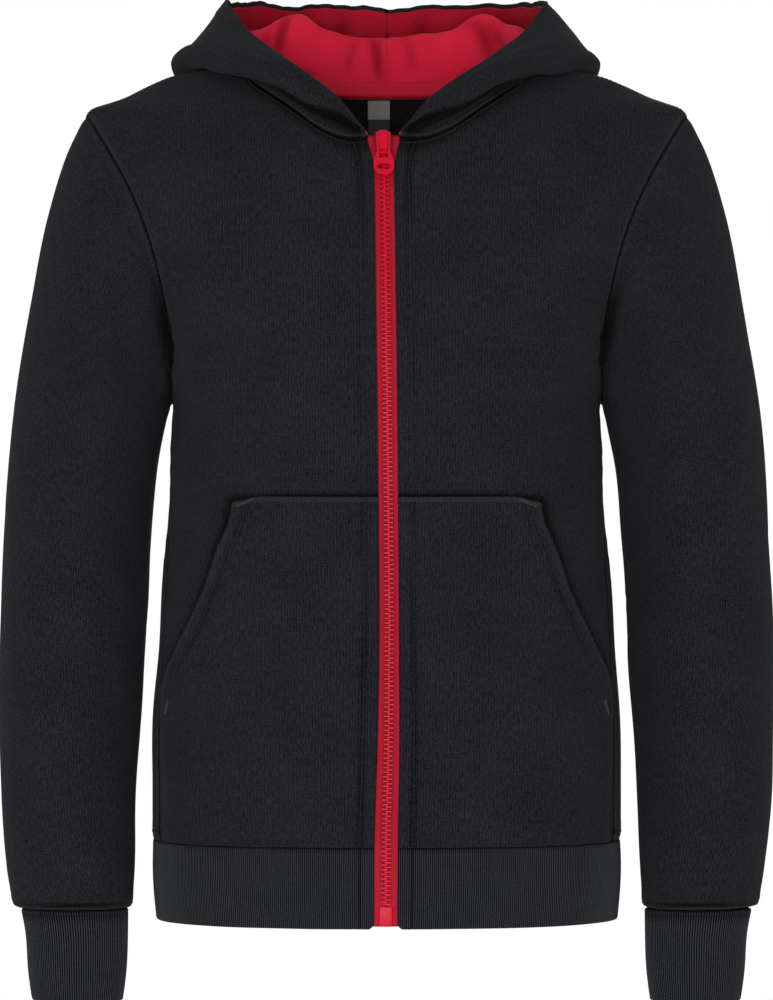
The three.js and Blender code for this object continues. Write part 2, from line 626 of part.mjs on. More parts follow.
function frontPanel() {
  const top = [...neckFront, ...shoulder.slice(1)];
  const columns = top.length - 1;
  const left = frontEdge(frontOuter.length - 1);
  const bottom = hemArc(left[0], side[0], -1, columns);
  const grid = patch(bottom, top, left, frontOuter).map((row) => row.map((p) => bodySkin(p)));
  const inward = grid.map((row) => row.map((p) => bodyNormal(ontoBody(p)).multiplyScalar(-FLEECE)));
  grid[0].forEach((p) => (p.z += GAP / 2));
  fitArmhole(grid, inward, columns, frontArmPoints);
  return { grid: grid.map((row) => row.map((p) => p.add(V(0, -GAP / 2, 0)))), inward, hem: bottom };
}
function backPanel() {
  const half = [...neckBack.slice().reverse(), ...shoulder.slice(1)];
  const top = [...half.slice(1).map((p) => mirrored(p, -1)).reverse(), ...half];
  const columns = top.length - 1;
  const left = backOuter.map((p) => mirrored(p, -1));
  const behind = V(0, depthAt(0, HEM_SEAM, 1), HEM_SEAM);
  const right = hemHalf(behind, side[0], columns / 2);
  const bottom = [...right.slice(1).map((p) => mirrored(p, -1)).reverse(), ...right];
  const grid = patch(bottom, top, left, backOuter).map((row) => row.map((p) => bodySkin(p)));
  const inward = grid.map((row) => row.map((p) => bodyNormal(ontoBody(p)).multiplyScalar(-FLEECE)));
  grid[0].forEach((p) => (p.z += GAP / 2));
  fitArmhole(grid, inward, columns, backArmPoints);
  for (const { row } of backArmPoints) {
    grid[row][0] = mirrored(grid[row][columns], -1);
    inward[row][0] = mirrored(inward[row][columns], -1);
  }
  return { grid: grid.map((row) => row.map((p) => p.add(V(0, GAP / 2, 0)))), inward, hem: bottom };
}
// The lower edge from the middle of the back round the side to the side seam in front of it.
function hemHalf(from, to, steps) {
  const z = from.z;
  const end = Math.atan2(to.y / bodyFront(z), to.x / bodyHalf(z));
  const dense = range(DENSE).map((t) => {
    const angle = Math.PI / 2 + t * (end - Math.PI / 2);
    return ontoBody(V(Math.cos(angle) * bodyHalf(z), Math.sin(angle) * bodyBack(z), z));
  });
  return divided(dense, steps);
}

const front = frontPanel();
const back = backPanel();
add("back", wall(back.grid, back.inward), materials.fleece);
for (const { name, side: s } of SIDES) {
  const turned = (grid) => grid.map((row) => row.map((p) => mirrored(p, s)));
  const outer = front.grid.map((row) => row.map((p) => mirrored(p, s)));
  add(`front_${name}`, wall(outer, turned(front.inward)), materials.fleece);
}

// Sleeves
for (const { name, side: s } of SIDES) {
  const grid = sleeveGrid(loop, s);
  grid[0] = loop.map((p, k) => p.clone().addScaledVector(armSeam[k].across, GAP / 2));
  const inward = gridNormals(grid, true).map((row) => row.map((n) => n.multiplyScalar(-FLEECE)));
  inward[0] = armSeam.map(({ inward: m }) => m.clone().multiplyScalar(FLEECE));
  grid[grid.length - 1].forEach((p) => (p.z += GAP / 2));
  const flip = (rows) => rows.map((row) => row.map((p) => mirrored(p, s)));
  add(`sleeve_${name}`, wall(flip(grid), flip(inward), true, ARMHOLE_STEPS), materials.fleece);
}

// Cuffs: oval tubes of rib.
const cuffAt = Object.fromEntries(["outX", "inX", "half", "y"].map((name) => [name, through(CUFF, "z", name, false)]));
const CUFF_ROWS = [CUFF_SEAM - GAP / 2, CUFF_SEAM - 5, -566, -590, CUFF_END];
const CUFF_COLUMNS = 24;
function cuffRing(z) {
  const halfWidth = (cuffAt.outX(z) - cuffAt.inX(z)) / 2;
  const middle = (cuffAt.outX(z) + cuffAt.inX(z)) / 2;
  return range(CUFF_COLUMNS)
    .slice(0, -1)
    .map((t) => {
      const turn = 2 * Math.PI * t;
      return V(middle + halfWidth * Math.cos(turn), cuffAt.y(z) - cuffAt.half(z) * Math.sin(turn), z);
    });
}
for (const { name, side: s } of SIDES) {
  const grid = CUFF_ROWS.map(cuffRing);
  const inward = gridNormals(grid, true).map((row) =>
    row.map((n) => mirrored(n.setZ(0).normalize().multiplyScalar(-RIB_CLOTH), s)),
  );
  add(`cuff_${name}`, wall(grid.map((row) => row.map((p) => mirrored(p, s))), inward, true), materials.rib);
}

// Waistband: one strip of rib from one front edge round the back to the other, below the body's own points.
const BAND_ROWS = [HEM_SEAM - GAP / 2, HEM_SEAM - 5, -520, -539, HEM];
const BAND_INSET = 0.6; // the body overhangs the band by this much
{
  const ring = [
    ...front.hem,
    ...back.hem.slice(1, -1).reverse(),
    ...front.hem.map((p) => mirrored(p, -1)).reverse(),
  ];
  const angles = ring.map((p) => Math.atan2(p.x / bodyHalf(p.z), -p.y / bodyDepth(p.y < 0 ? -1 : 1, p.z)));
  const line = (z) =>
    angles.map((angle, j) => {
      const turned = j > ring.length / 2 && angle > 0 ? angle - 2 * Math.PI : angle;
      const depth = Math.cos(turned) > 0 ? bodyFront(z) : bodyBack(z);
      return ontoBody(V(Math.sin(turned) * bodyHalf(z), -Math.cos(turned) * depth, z));
    });
  const level = (p) => bodyNormal(p).setZ(0).normalize();
  const grid = BAND_ROWS.map((z) => line(z).map((p) => p.addScaledVector(level(p), -BAND_INSET)));
  const inward = BAND_ROWS.map((z) => line(z).map((p) => level(p).multiplyScalar(-RIB_CLOTH)));
  add("waistband", wall(grid, inward), materials.rib);
}

// Hood: a sheet lofted through its lines, with the neckline as the first of them.
const hoodLine = Object.fromEntries(
  Object.entries(HOOD_LINES).map(([name, rows]) => {
    // The line goes on past the middle of the back as its own mirror image, which keeps it level there.
    const beyond = rows
      .slice(-3, -1)
      .reverse()
      .map((row) => ({ s: 2 - row.s, x: -row.x, y: row.y, z: row.z }));
    const whole = [...rows, ...beyond];
    return [name, ["x", "y", "z"].map((axis) => through(whole, "s", axis, false))];
  }),
);
const neckPoints = [...neckFront, ...neckBack.slice(1)];
const hoodStations = neckPoints.map((_, k) =>
  k <= NECK_FRONT_STEPS
    ? (0.5 * k) / NECK_FRONT_STEPS
    : 0.5 + (0.5 * (k - NECK_FRONT_STEPS)) / NECK_BACK_STEPS,
);
const hoodBase = neckPoints.map((p, k) => {
  const before = neckPoints[Math.max(0, k - 1)];
  const after = neckPoints[k + 1] ?? mirrored(neckPoints[k - 1], -1);
  const along = after.clone().sub(before).normalize();
  const toNeck = bodyNormal(ontoBody(p)).cross(along).normalize();
  if (toNeck.z < 0) toNeck.negate();
  return p.clone().addScaledVector(toNeck, GAP);
});
// A point of the hood's outer face: station k along the neck, t from the neck seam to the rim.
function hoodPoint(k, t) {
  const rows = Object.entries(HOOD_KNOTS).map(([name, knot]) => {
    const p = name === "neck" ? hoodBase[k] : V(...hoodLine[name].map((f) => f(hoodStations[k])));
    return { t: knot, x: p.x, y: p.y, z: p.z };
  });
  return V(...["x", "y", "z"].map((axis) => through(rows, "t", axis, false)(t)));
}
const hoodGrid = HOOD_ROWS.map((t) => neckPoints.map((_, k) => hoodPoint(k, t)));
// Each direction is averaged with its neighbours', and stays level at the middle of the back.
function softened(normals) {
  return normals.map((row, i) =>
    row.map((n, k) => {
      const mean = n.clone().multiplyScalar(2);
      for (const [di, dk] of [[1, 0], [-1, 0], [0, 1], [0, -1]]) {
        const near = normals[i + di]?.[k + dk] ?? n;
        mean.add(k + dk === row.length ? mirrored(normals[i][k - 1], -1) : near);
      }
      return mean.normalize();
    }),
  );
}
const hoodNormals = softened(softened(gridNormals(hoodGrid))).map((row) =>
  row.map((n, k) => (k === row.length - 1 ? n.setX(0).normalize() : n)),
);
// The rim is drawn back by the border on the lining.
const liningGrid = hoodGrid.map((row, i) =>
  row.map((p, k) => {
    if (i < hoodGrid.length - 1) return p.clone();
    const back = hoodGrid[i - 1][k].clone().sub(p);
    return p.clone().addScaledVector(back, Math.min(0.5, RIM_BORDER / back.length()));
  }),
);
function hoodLayer(grid, from, thickness, s) {
  const outer = grid.map((row, i) =>
    row.map((p, k) => {
      const moved = p.clone().addScaledVector(hoodNormals[i][k], -from);
      if (k === row.length - 1) moved.x += GAP / 2;
      return mirrored(moved, s);
    }),
  );
  const inward = hoodNormals.map((row) => row.map((n) => mirrored(n.clone().multiplyScalar(-thickness), s)));
  return wall(outer, inward);
}
for (const { name, side: s } of SIDES) {
  add(`hood_${name}`, hoodLayer(hoodGrid, 0, HOOD_CLOTH, s), materials.fleece);
  add(`hood_lining_${name}`, hoodLayer(liningGrid, HOOD_CLOTH + LINING_AIR, LINING_CLOTH, s), materials.red);
}

// Pocket halves: a patch between the front's edge, the top, the mouth and side, and the waistband.
function borderLine(rows, steps) {
  const knots = rows.map((row, i) => ({ i, ...row }));
  const x = through(knots, "i", "x", false);
  const z = through(knots, "i", "z", false);
  const dense = range(DENSE).map((t) => {
    const at = t * (rows.length - 1);
    return V(x(at), depthAt(x(at), z(at), -1), z(at));
  });
  return divided(dense, steps);
}
function pocketGrid() {
  const outerSide = borderLine(POCKET_SIDE, POCKET_ROWS).reverse();
  const lowest = outerSide[0].z;
  const edge = range(POCKET_ROWS).map((t) => {
    const z = lowest + t * (POCKET_TOP - lowest);
    return V(frontEdgeX(z) + 0.4, depthAt(frontEdgeX(z), z, -1), z);
  });
  const across = (from, to) =>
    range(POCKET_COLUMNS).map((t) => {
      const p = from.clone().lerp(to, t);
      return V(p.x, depthAt(p.x, p.z, -1), p.z);
    });
  const bottom = across(edge[0], outerSide[0]);
  const top = across(edge[POCKET_ROWS], outerSide[POCKET_ROWS]);
  return patch(bottom, top, edge, outerSide);
}
function mouthLift(i, j, z) {
  const near = fade(clamp((j / POCKET_COLUMNS - 0.55) / 0.45, 0, 1));
  const along = clamp((z - MOUTH_END) / (POCKET_TOP - MOUTH_END), 0, 1);
  return POCKET_LIFT * near * Math.sin(Math.PI * along);
}
{
  const flat = pocketGrid();
  const raised = (p, i, j) => {
    const lift = FLEECE + POCKET_AIR + mouthLift(i, j, p.z);
    return bodySkin(p, lift).add(V(0, -GAP / 2, 0));
  };
  const grid = flat.map((row, i) => row.map((p, j) => raised(p, i, j)));
  const inward = flat.map((row) => row.map((p) => bodyNormal(ontoBody(p)).multiplyScalar(-FLEECE)));
  for (const { name, side: s } of SIDES) {
    const flip = (rows) => rows.map((row) => row.map((p) => mirrored(p, s)));
    add(`pocket_${name}`, wall(flip(grid), flip(inward)), materials.fleece);
  }
}

// Zip: two tapes behind the fronts, the closed teeth as one bar, and the box at the lower end.
const ZIP_FOOT = -543.6;
const ZIP_TOP = -46.5;
const BOX_TOP = -531;
const CHAIN_TOP = -53.4;
const TAPE_INNER = [
  { z: -541, x: 4.7 },
  { z: -529, x: 4.7 },
  { z: -526, x: CHAIN_HALF + GAP },
  { z: -70, x: CHAIN_HALF + GAP },
  { z: -60, x: 4.0 },
  { z: -52, x: 5.4 },
  { z: -46, x: 6.6 },
];
const tapeInner = through(TAPE_INNER, "z", "x");
const zipHeights = [ZIP_FOOT, -529.2, -526, ...front.grid.map((row) => row[0].z).filter((z) => z > -522 && z < -62)];
const zipPoint = (x, z, depth) => {
  const p = V(0, -bodyFront(z), z);
  return p.addScaledVector(bodyNormal(p), -depth).add(V(x, 0, 0));
};
{
  const heights = [...zipHeights, -60, -53, ZIP_TOP];
  const widths = [0, 0.5, 1];
  const grid = heights.map((z) =>
    widths.map((t) => zipPoint(tapeInner(z) + t * (TAPE_EDGE - tapeInner(z)), z, TAPE_DEPTH)),
  );
  const inward = grid.map((row) => row.map((p) => bodyNormal(ontoBody(V(0, p.y, p.z))).multiplyScalar(-TAPE)));
  for (const { name, side: s } of SIDES) {
    const flip = (rows) => rows.map((row) => row.map((p) => mirrored(p, s)));
    add(`zip_tape_${name}`, wall(flip(grid), flip(inward)), materials.red);
  }
}
function bar(heights, halfWidth, depth, thickness) {
  const grid = heights.map((z) => [-1, 1].map((s) => zipPoint(s * halfWidth, z, depth)));
  const inward = grid.map((row) => row.map((p) => bodyNormal(V(0, -bodyFront(p.z), p.z)).multiplyScalar(-thickness)));
  return wall(grid, inward);
}
const chainHeights = [BOX_TOP + GAP, ...zipHeights.filter((z) => z > -527), -62, CHAIN_TOP];
add("zip_chain", bar(chainHeights, CHAIN_HALF, TAPE_DEPTH - CHAIN_RISE, CHAIN_THICK), materials.zip);
add("zip_box", bar([-543.5, BOX_TOP], 4.1, TAPE_DEPTH - CHAIN_RISE - 0.2, CHAIN_THICK + 0.4), materials.zip);

// Slider and pull, drawn upright about the hinge, then leaned with the chain. Local -Y is out of the cloth.
const { Manifold, CrossSection } = wasm;
const box = (x, y, z, at) => Manifold.cube([x, y, z], true).translate(at);
const SLIDER_AT = { z: -52.5, depth: 0 }; // middle of the slider on the fronts' outer face
const HINGE_OUT = 1.5; // the pull's pin stands this far out of that face
const HINGE_DOWN = 5.5; // and this far below the slider's middle
function sliderSolid() {
  const face = CrossSection.ofPolygons([[[-4.1, -9.4], [4.1, -9.4], [4.8, 5.6], [3.4, 6.9], [-3.4, 6.9], [-4.8, 5.6]]]);
  const plate = face.extrude(1.2).rotate([90, 0, 0]);
  const fore = plate.translate([0, 1.3, 0]);
  const aft = plate.translate([0, 7.3, 0]);
  const wedge = box(5, 5.8, 5.2, [0, 3.6, 4.2]);
  const posts = box(4.6, 3.4, 1.6, [0, -1, 4.4]).add(box(4.6, 3.4, 1.6, [0, -1, -7.4]));
  const bridge = box(4.6, 1.2, 13.4, [0, -3.3, -1.5]);
  return Manifold.union([fore, aft, wedge, posts, bridge]);
}
// The pull hangs from a pin under the bridge: two arms, a widening plate and an oval hole.
function pullSolid() {
  const half = [[2.7, -8.4], [2.7, 1], [3.7, 1], [4, -3], [5.6, -8], [6.4, -11.5], [6.4, -15.5], [5.3, -18.6], [2.8, -20.5]];
  const other = half.map(([x, z]) => [-x, z]).reverse();
  const hole = CrossSection.circle(1, 20).scale([4.3, 2.5]).translate([0, -14.8]);
  const shape = CrossSection.ofPolygons([[...half, ...other]], "NonZero").subtract(hole);
  const plate = shape.extrude(1.6).rotate([90, 0, 0]).translate([0, 0.8, 0]);
  const pin = Manifold.cylinder(6.4, 0.75, 0.75, 12, true).rotate([0, 90, 0]);
  return plate.add(pin);
}
function placed(made, lean, at) {
  const mesh = made.getMesh();
  const points = [];
  for (let i = 0; i < mesh.vertProperties.length; i += mesh.numProp) {
    const p = V(mesh.vertProperties[i], mesh.vertProperties[i + 1], mesh.vertProperties[i + 2]);
    points.push(p.applyAxisAngle(V(1, 0, 0), lean).add(at));
  }
  const faces = [];
  for (let i = 0; i < mesh.triVerts.length; i += 3) faces.push([...mesh.triVerts.slice(i, i + 3)]);
  return solid(points, faces);
}
{
  const surface = V(0, -bodyFront(SLIDER_AT.z), SLIDER_AT.z);
  const out = bodyNormal(surface);
  const lean = -Math.atan2(out.z, -out.y);
  add("zip_slider", placed(sliderSolid(), lean, surface), materials.zip);
  const down = V(0, -out.z, out.y);
  const hinge = surface.clone().addScaledVector(out, HINGE_OUT).addScaledVector(down, HINGE_DOWN);
  add("zip_pull", placed(pullSolid(), lean, hinge), materials.zip);
}

// Tape over the back neck seam, on the neck's side of it.
let tapeFoot; // its lower edge at the middle of the back
{
  const down = 1.6;
  const up = 6;
  const clear = HOOD_CLOTH + LINING_AIR + LINING_CLOTH + GAP + TAPE + 0.6;
  const topRow = back.grid.length - 1;
  const centre = NECK_BACK_STEPS + SHOULDER_STEPS;
  const first = 2; // the tape's ends lie this many stations behind the shoulder seams
  const half = neckBack.slice(first).map((p, i) => {
    const station = NECK_FRONT_STEPS + first + i;
    const column = centre + NECK_BACK_STEPS - first - i;
    const away = back.grid[topRow - 1][column].clone().sub(back.grid[topRow][column]).normalize();
    const below = back.inward[topRow][column].clone().normalize();
    const lining = hoodNormals[1][station].clone().negate();
    const rise = hoodGrid[2][station].clone().sub(hoodGrid[0][station]).normalize();
    const low = p.clone().addScaledVector(away, down).addScaledVector(below, FLEECE + GAP + TAPE + 0.6);
    const high = p.clone().addScaledVector(rise, up).addScaledVector(lining, clear);
    const bend = below.clone().add(lining).normalize();
    const middle = p.clone().addScaledVector(bend, clear * 1.25);
    return { points: [low, middle, high], into: [below.clone().negate(), bend.clone().negate(), lining.clone().negate()] };
  });
  const reflected = half.slice(0, -1).reverse().map(({ points, into }) => ({
    points: points.map((p) => mirrored(p, -1)),
    into: into.map((p) => mirrored(p, -1)),
  }));
  const both = [...half, ...reflected];
  tapeFoot = half[half.length - 1].points[0];
  const grid = [0, 1, 2].map((i) => both.map(({ points }) => points[i]));
  const inward = [0, 1, 2].map((i) => both.map(({ into }) => into[i].clone().multiplyScalar(TAPE)));
  add("neck_tape", wall(grid, inward), materials.red);
}

// Two bare labels hanging from the tape's lower edge.
const LABELS = [
  { name: "size_label", x: -5, behind: -0.3, width: 14.6, height: 12.7, material: materials.grey },
  { name: "care_label", x: -5, behind: TAPE, width: 14.6, height: 34, material: materials.black },
];
for (const { name, x, behind, width, height, material } of LABELS) {
  const y = tapeFoot.y + behind;
  const top = tapeFoot.z - GAP;
  const grid = [top - height, top - height / 2, top].map((z) => [-0.5, 0.5].map((t) => V(x + t * width, y, z)));
  const inward = grid.map((row) => row.map(() => V(0, TAPE, 0)));
  add(name, wall(grid, inward), material);
}

export default hoodie;
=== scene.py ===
# A child's zip-up hooded sweatshirt, filled out as worn, with the hood down: its looks.
# Forms are worked out in millimetres in the part's own frame (+Z up, +Y the wearer's back,
# +X the wearer's left) and put into the meshes in metres.
import math

import bmesh
import bpy
import numpy as np
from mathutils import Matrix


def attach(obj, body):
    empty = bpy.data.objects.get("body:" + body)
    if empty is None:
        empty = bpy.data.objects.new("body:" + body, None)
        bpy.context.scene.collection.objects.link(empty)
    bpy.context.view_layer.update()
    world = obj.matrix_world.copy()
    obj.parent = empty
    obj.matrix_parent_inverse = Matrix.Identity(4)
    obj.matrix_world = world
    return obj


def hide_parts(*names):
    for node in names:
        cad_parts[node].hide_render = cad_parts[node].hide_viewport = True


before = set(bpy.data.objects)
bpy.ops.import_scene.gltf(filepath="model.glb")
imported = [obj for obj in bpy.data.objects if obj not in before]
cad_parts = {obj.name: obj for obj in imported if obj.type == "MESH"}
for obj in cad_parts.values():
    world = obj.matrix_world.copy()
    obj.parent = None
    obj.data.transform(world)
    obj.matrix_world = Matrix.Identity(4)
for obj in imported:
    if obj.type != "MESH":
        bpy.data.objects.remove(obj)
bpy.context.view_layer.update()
MM = 0.001


# ---------------------------------------------------------------- camera and light
def make_camera():
    data = bpy.data.cameras.new("camera")
    data.lens = 174.2
    data.sensor_width = 36
    camera = bpy.data.objects.new("camera", data)
    camera.location = (0.0, -3.1, -0.2776)
    camera.rotation_euler = (math.pi / 2, 0, 0)
    bpy.context.scene.collection.objects.link(camera)
    bpy.context.scene.camera = camera


def soft_light(name, place, size, power, target=(0, 0, -0.27)):
    data = bpy.data.lights.new(name, "AREA")
    data.shape = "RECTANGLE"
    data.size, data.size_y = size
    data.energy = power
    lamp = bpy.data.objects.new(name, data)
    lamp.location = place
    away = np.array(place, float) - np.array(target, float)
    yaw = math.atan2(away[0], -away[1])
    tilt = math.atan2(math.hypot(away[0], away[1]), away[2])
    lamp.rotation_euler = (tilt, 0, yaw)
    bpy.context.scene.collection.objects.link(lamp)


make_camera()
bpy.context.scene.view_settings.view_transform = "Standard"
soft_light("key", (-0.3, -3.4, -0.55), (1.5, 1.5), 43)
soft_light("right_fill", (2.4, -1.6, 0.3), (1.2, 1.8), 5)
soft_light("left_fill", (-2.6, -1.4, 0.2), (1.2, 1.8), 5)
soft_light("top", (0.0, 0.3, 2.4), (1.6, 1.6), 1.5)
soft_light("back", (0.4, 3.1, 0.8), (1.5, 1.5), 30)


# ---------------------------------------------------------------- dimensions
FLEECE = 2.0
HOOD_CLOTH = 1.8
LINING_CLOTH = 1.2
LINING_AIR = 0.6  # between the hood and its lining
RIB_CLOTH = 2.2
TAPE = 1.0
GAP = 0.3  # between the cut pieces
LAP = 0.15  # how far each rim passes the middle of its seam, so that no light shows through
HEM_SEAM = -494.0
HEM = -545.0
CUFF_SEAM = -538.0
CUFF_END = -596.5
SQUARENESS = 2.3
NECK_TOP = -51.5
TAPE_EDGE = 14.0
TAPE_DEPTH = 3.3
CHAIN_RISE = 1.4
BAND_INSET = 0.6  # how far the waistband lies within the body's form
ZIP_FOOT = -543.6
ZIP_TOP = -46.5
POCKET_TOP = -274.5
POCKET_LIFT = 3.0  # how far a pocket's mouth stands off at its middle, beyond the air
POCKET_AIR = 0.9  # between a pocket and its front
MOUTH_END = -405.0
HEM_FOLD = -420.0  # lower end of the hem along the pocket's mouth
RIM_BORDER = 2.6  # how far the lining ends short of the hood's rim
RIB_PITCH = 1.4  # width of a rib of the hem and cuffs, as measured on the cloth
ARMHOLE_REACH = 0.42  # share of the sleeve that is pulled towards the armhole's loop
WANDER_REACH = 75.0  # distance from the zip at which its wander has faded
MITRE_REACH = 6.0  # distance from the armhole at which its mitre has faded
LABEL_X = -5.0
LABEL_WIDTH = 14.6
# Distances of the stitch lines from their edges.
EDGE_STITCH = 9.2
TOP_STITCH = 2.6
HEM_STITCH = 5.0
ARMHOLE_STITCHES = (2.4, 5.6)
CUFF_STITCH = 4.4
LINING_STITCH = 19.0
MOUTH_STITCH = 10.6
POCKET_STITCH = 8.8
# Both ends, x and z, of the bar tacks at a pocket's mouth.
BAR_TACKS = (((93.0, -281.2), (82.8, -277.0)), ((137.5, -404.0), (139.6, -413.0)))

# Sections of the body: height, half width, depth to the front and to the back.
BODY = [
    (-545, 148.5, 90, 86), (-494, 150, 94, 90), (-444, 150, 97, 91), (-367, 146, 100, 88),
    (-265, 138, 102, 88), (-213, 137.5, 102, 91), (-183, 142, 101, 94), (-152, 157, 98, 96),
    (-115, 174, 91, 96.5), (-76, 186, 81, 94), (-50, 191, 70, 88), (-31, 192, 54, 80),
    (-20, 167, 42, 73), (-12, 151, 31, 64), (-6, 136, 21, 48), (-2, 113, 11, 25), (0, 92, 3, 8),
]
# Borders of the cut pieces: x and height, or height and y, or height and x.
NECK_FRONT = [
    (10.5, NECK_TOP), (20, -51.8), (30, -49.8), (43, -43.5), (58, -32.5), (74, -21), (86.5, -11), (92, 0),
]
NECK_BACK = [(92, 0), (88, -3), (75, -7), (55, -10), (30, -11.6), (0, -12)]
ARMHOLE_FRONT = [
    (192, -31), (165, -76), (149, -115), (140, -152), (135.5, -183), (136.3, -203), (137.5, -213),
]
ARMHOLE_BACK = [
    (192, -31), (170, -76), (155, -115), (145, -152), (138.5, -183), (137.2, -203), (137.5, -213),
]
SIDE_SEAM = [(-494, -32), (-405, -31), (-330, -24), (-260, -10), (-213, 0)]
FRONT_EDGE = [
    (-545, 6.6), (-494, 7.2), (-350, 6), (-76, 6), (-66, 6.8), (-58, 8.5), (NECK_TOP, 10.5),
]
# Height, and how far the zip's strip wanders sideways there.
WANDER = [
    (-545, -0.6), (-494, -0.3), (-430, 1.2), (-360, 1.7), (-250, 0.8), (-120, -0.8), (-40, -2.2),
]
POCKET_SIDE = [
    (93.5, POCKET_TOP), (95.4, -278), (97, -290), (104.5, -311), (111.5, -333), (119.5, -351),
    (128, -369), (136, -386), (140.3, -401), (141.6, -412), (140.6, -450), (139.4, -493.5),
]
# Height, and x of a zip tape's inner edge.
TAPE_INNER = [
    (-544, 4.05), (-531.4, 4.05), (-530.9, 0.02), (-68, 0.02), (-60, 2.4), (-52, 3.5), (-46, 4.3),
]
# Rings of the sleeve: v, outer x and z, inner x and z, half the depth, y of the middle.
SLEEVE = [
    (0, 192, -31, 137.5, -213, 55, 0), (0.06, 204.6, -55.5, 139.6, -222, 55, 0),
    (0.14, 217.5, -97, 142.6, -236, 54, 0), (0.24, 228, -151, 146.2, -256, 53, 0),
    (0.34, 236, -204, 149.3, -282, 51, -1), (0.44, 241.5, -257, 151.4, -312, 49, -2),
    (0.55, 245.4, -315, 152.9, -350, 46.5, -4), (0.66, 247.3, -372, 155.3, -391, 43.5, -6),
    (0.77, 247.3, -428, 158.4, -437, 40.5, -8), (0.86, 246, -470, 160.1, -475, 37.5, -9.5),
    (0.93, 242.8, -503, 161, -506, 34, -10.5), (0.975, 239.6, -525, 162.2, -527, 31, -11),
    (0.988, 237.6, -534.6, 162.8, -535.2, 29, -11), (1, 233.4, CUFF_SEAM, 164.5, CUFF_SEAM, 25.8, -11),
]
# Rings of the cuff: height, outer x, inner x, half the depth, y of the middle.
CUFF = [
    (CUFF_END, 226, 168, 20.5, -12.4), (-580, 227.8, 166.4, 22.5, -12),
    (-552, 230, 165.2, 24.5, -11.4), (CUFF_SEAM, 233.2, 164.6, 25.5, -11),
]
# Lines along the hood's outer face from the zip (s = 0) past the shoulder (0.5) to the middle
# of the back (1): s, x, y, z. Each has its place t between the neck seam (0) and the rim (1).
HOOD_LINES = {
    0.1: [
        (0, 10.7, -71.2, -50.5), (0.15, 41, -64.5, -40.5), (0.3, 75, -44, -18), (0.4, 93, -26.5, -5.5),
        (0.5, 99, 4, 9), (0.65, 86, 42, 21), (0.72, 74.5, 58, 28), (0.79, 60, 71.5, 38.5),
        (0.86, 40, 77, 26), (0.93, 20, 80.5, 23.5), (1, 0, 81.5, 23),
    ],
    0.26: [
        (0, 11, -71.8, -49.4), (0.15, 43, -66.5, -36), (0.3, 79.5, -48, -12.5), (0.4, 103, -29, -6),
        (0.5, 114, 5, 1.5), (0.65, 106, 57, 0), (0.8, 73, 94, -22), (0.9, 37, 97.5, -36),
        (1, 0, 99.5, -42),
    ],
    0.48: [
        (0, 11.3, -72.1, -48.6), (0.15, 42.5, -66.6, -32.5), (0.3, 81.5, -47.5, -6),
        (0.4, 110.5, -26.5, -3.5), (0.5, 123, 8, -0.8), (0.65, 116, 69, -16), (0.8, 82.5, 109, -104),
        (0.9, 42, 109, -143), (1, 0, 111, -156),
    ],
    0.57: [
        (0, 11.7, -72.6, -47.2), (0.15, 40.2, -65, -27.8), (0.3, 82, -43.5, 0.5), (0.4, 116, -18.5, 4),
        (0.5, 134.5, 13.5, 5), (0.65, 131, 81, -15), (0.8, 91.5, 121, -104), (0.9, 46.5, 126, -143),
        (1, 0, 128, -156),
    ],
    0.77: [
        (0, 12, -72.6, -46.1), (0.15, 37, -63.5, -25), (0.3, 78, -38.5, 4), (0.4, 109, -12, 14),
        (0.5, 124, 22, 20), (0.65, 125.5, 80, 7), (0.8, 94, 123, -32), (0.9, 50, 134, -52),
        (1, 0, 138, -60),
    ],
    1.0: [
        (0, 12.5, -72.4, -44.4), (0.15, 31.5, -60, -21.5), (0.3, 66.5, -33, 5), (0.4, 88, -5, 23),
        (0.5, 102, 30, 43.5), (0.65, 100, 73, 49), (0.8, 74, 104, 51.5), (0.9, 38, 115, 50.5),
        (1, 0, 119, 51),
    ],
}

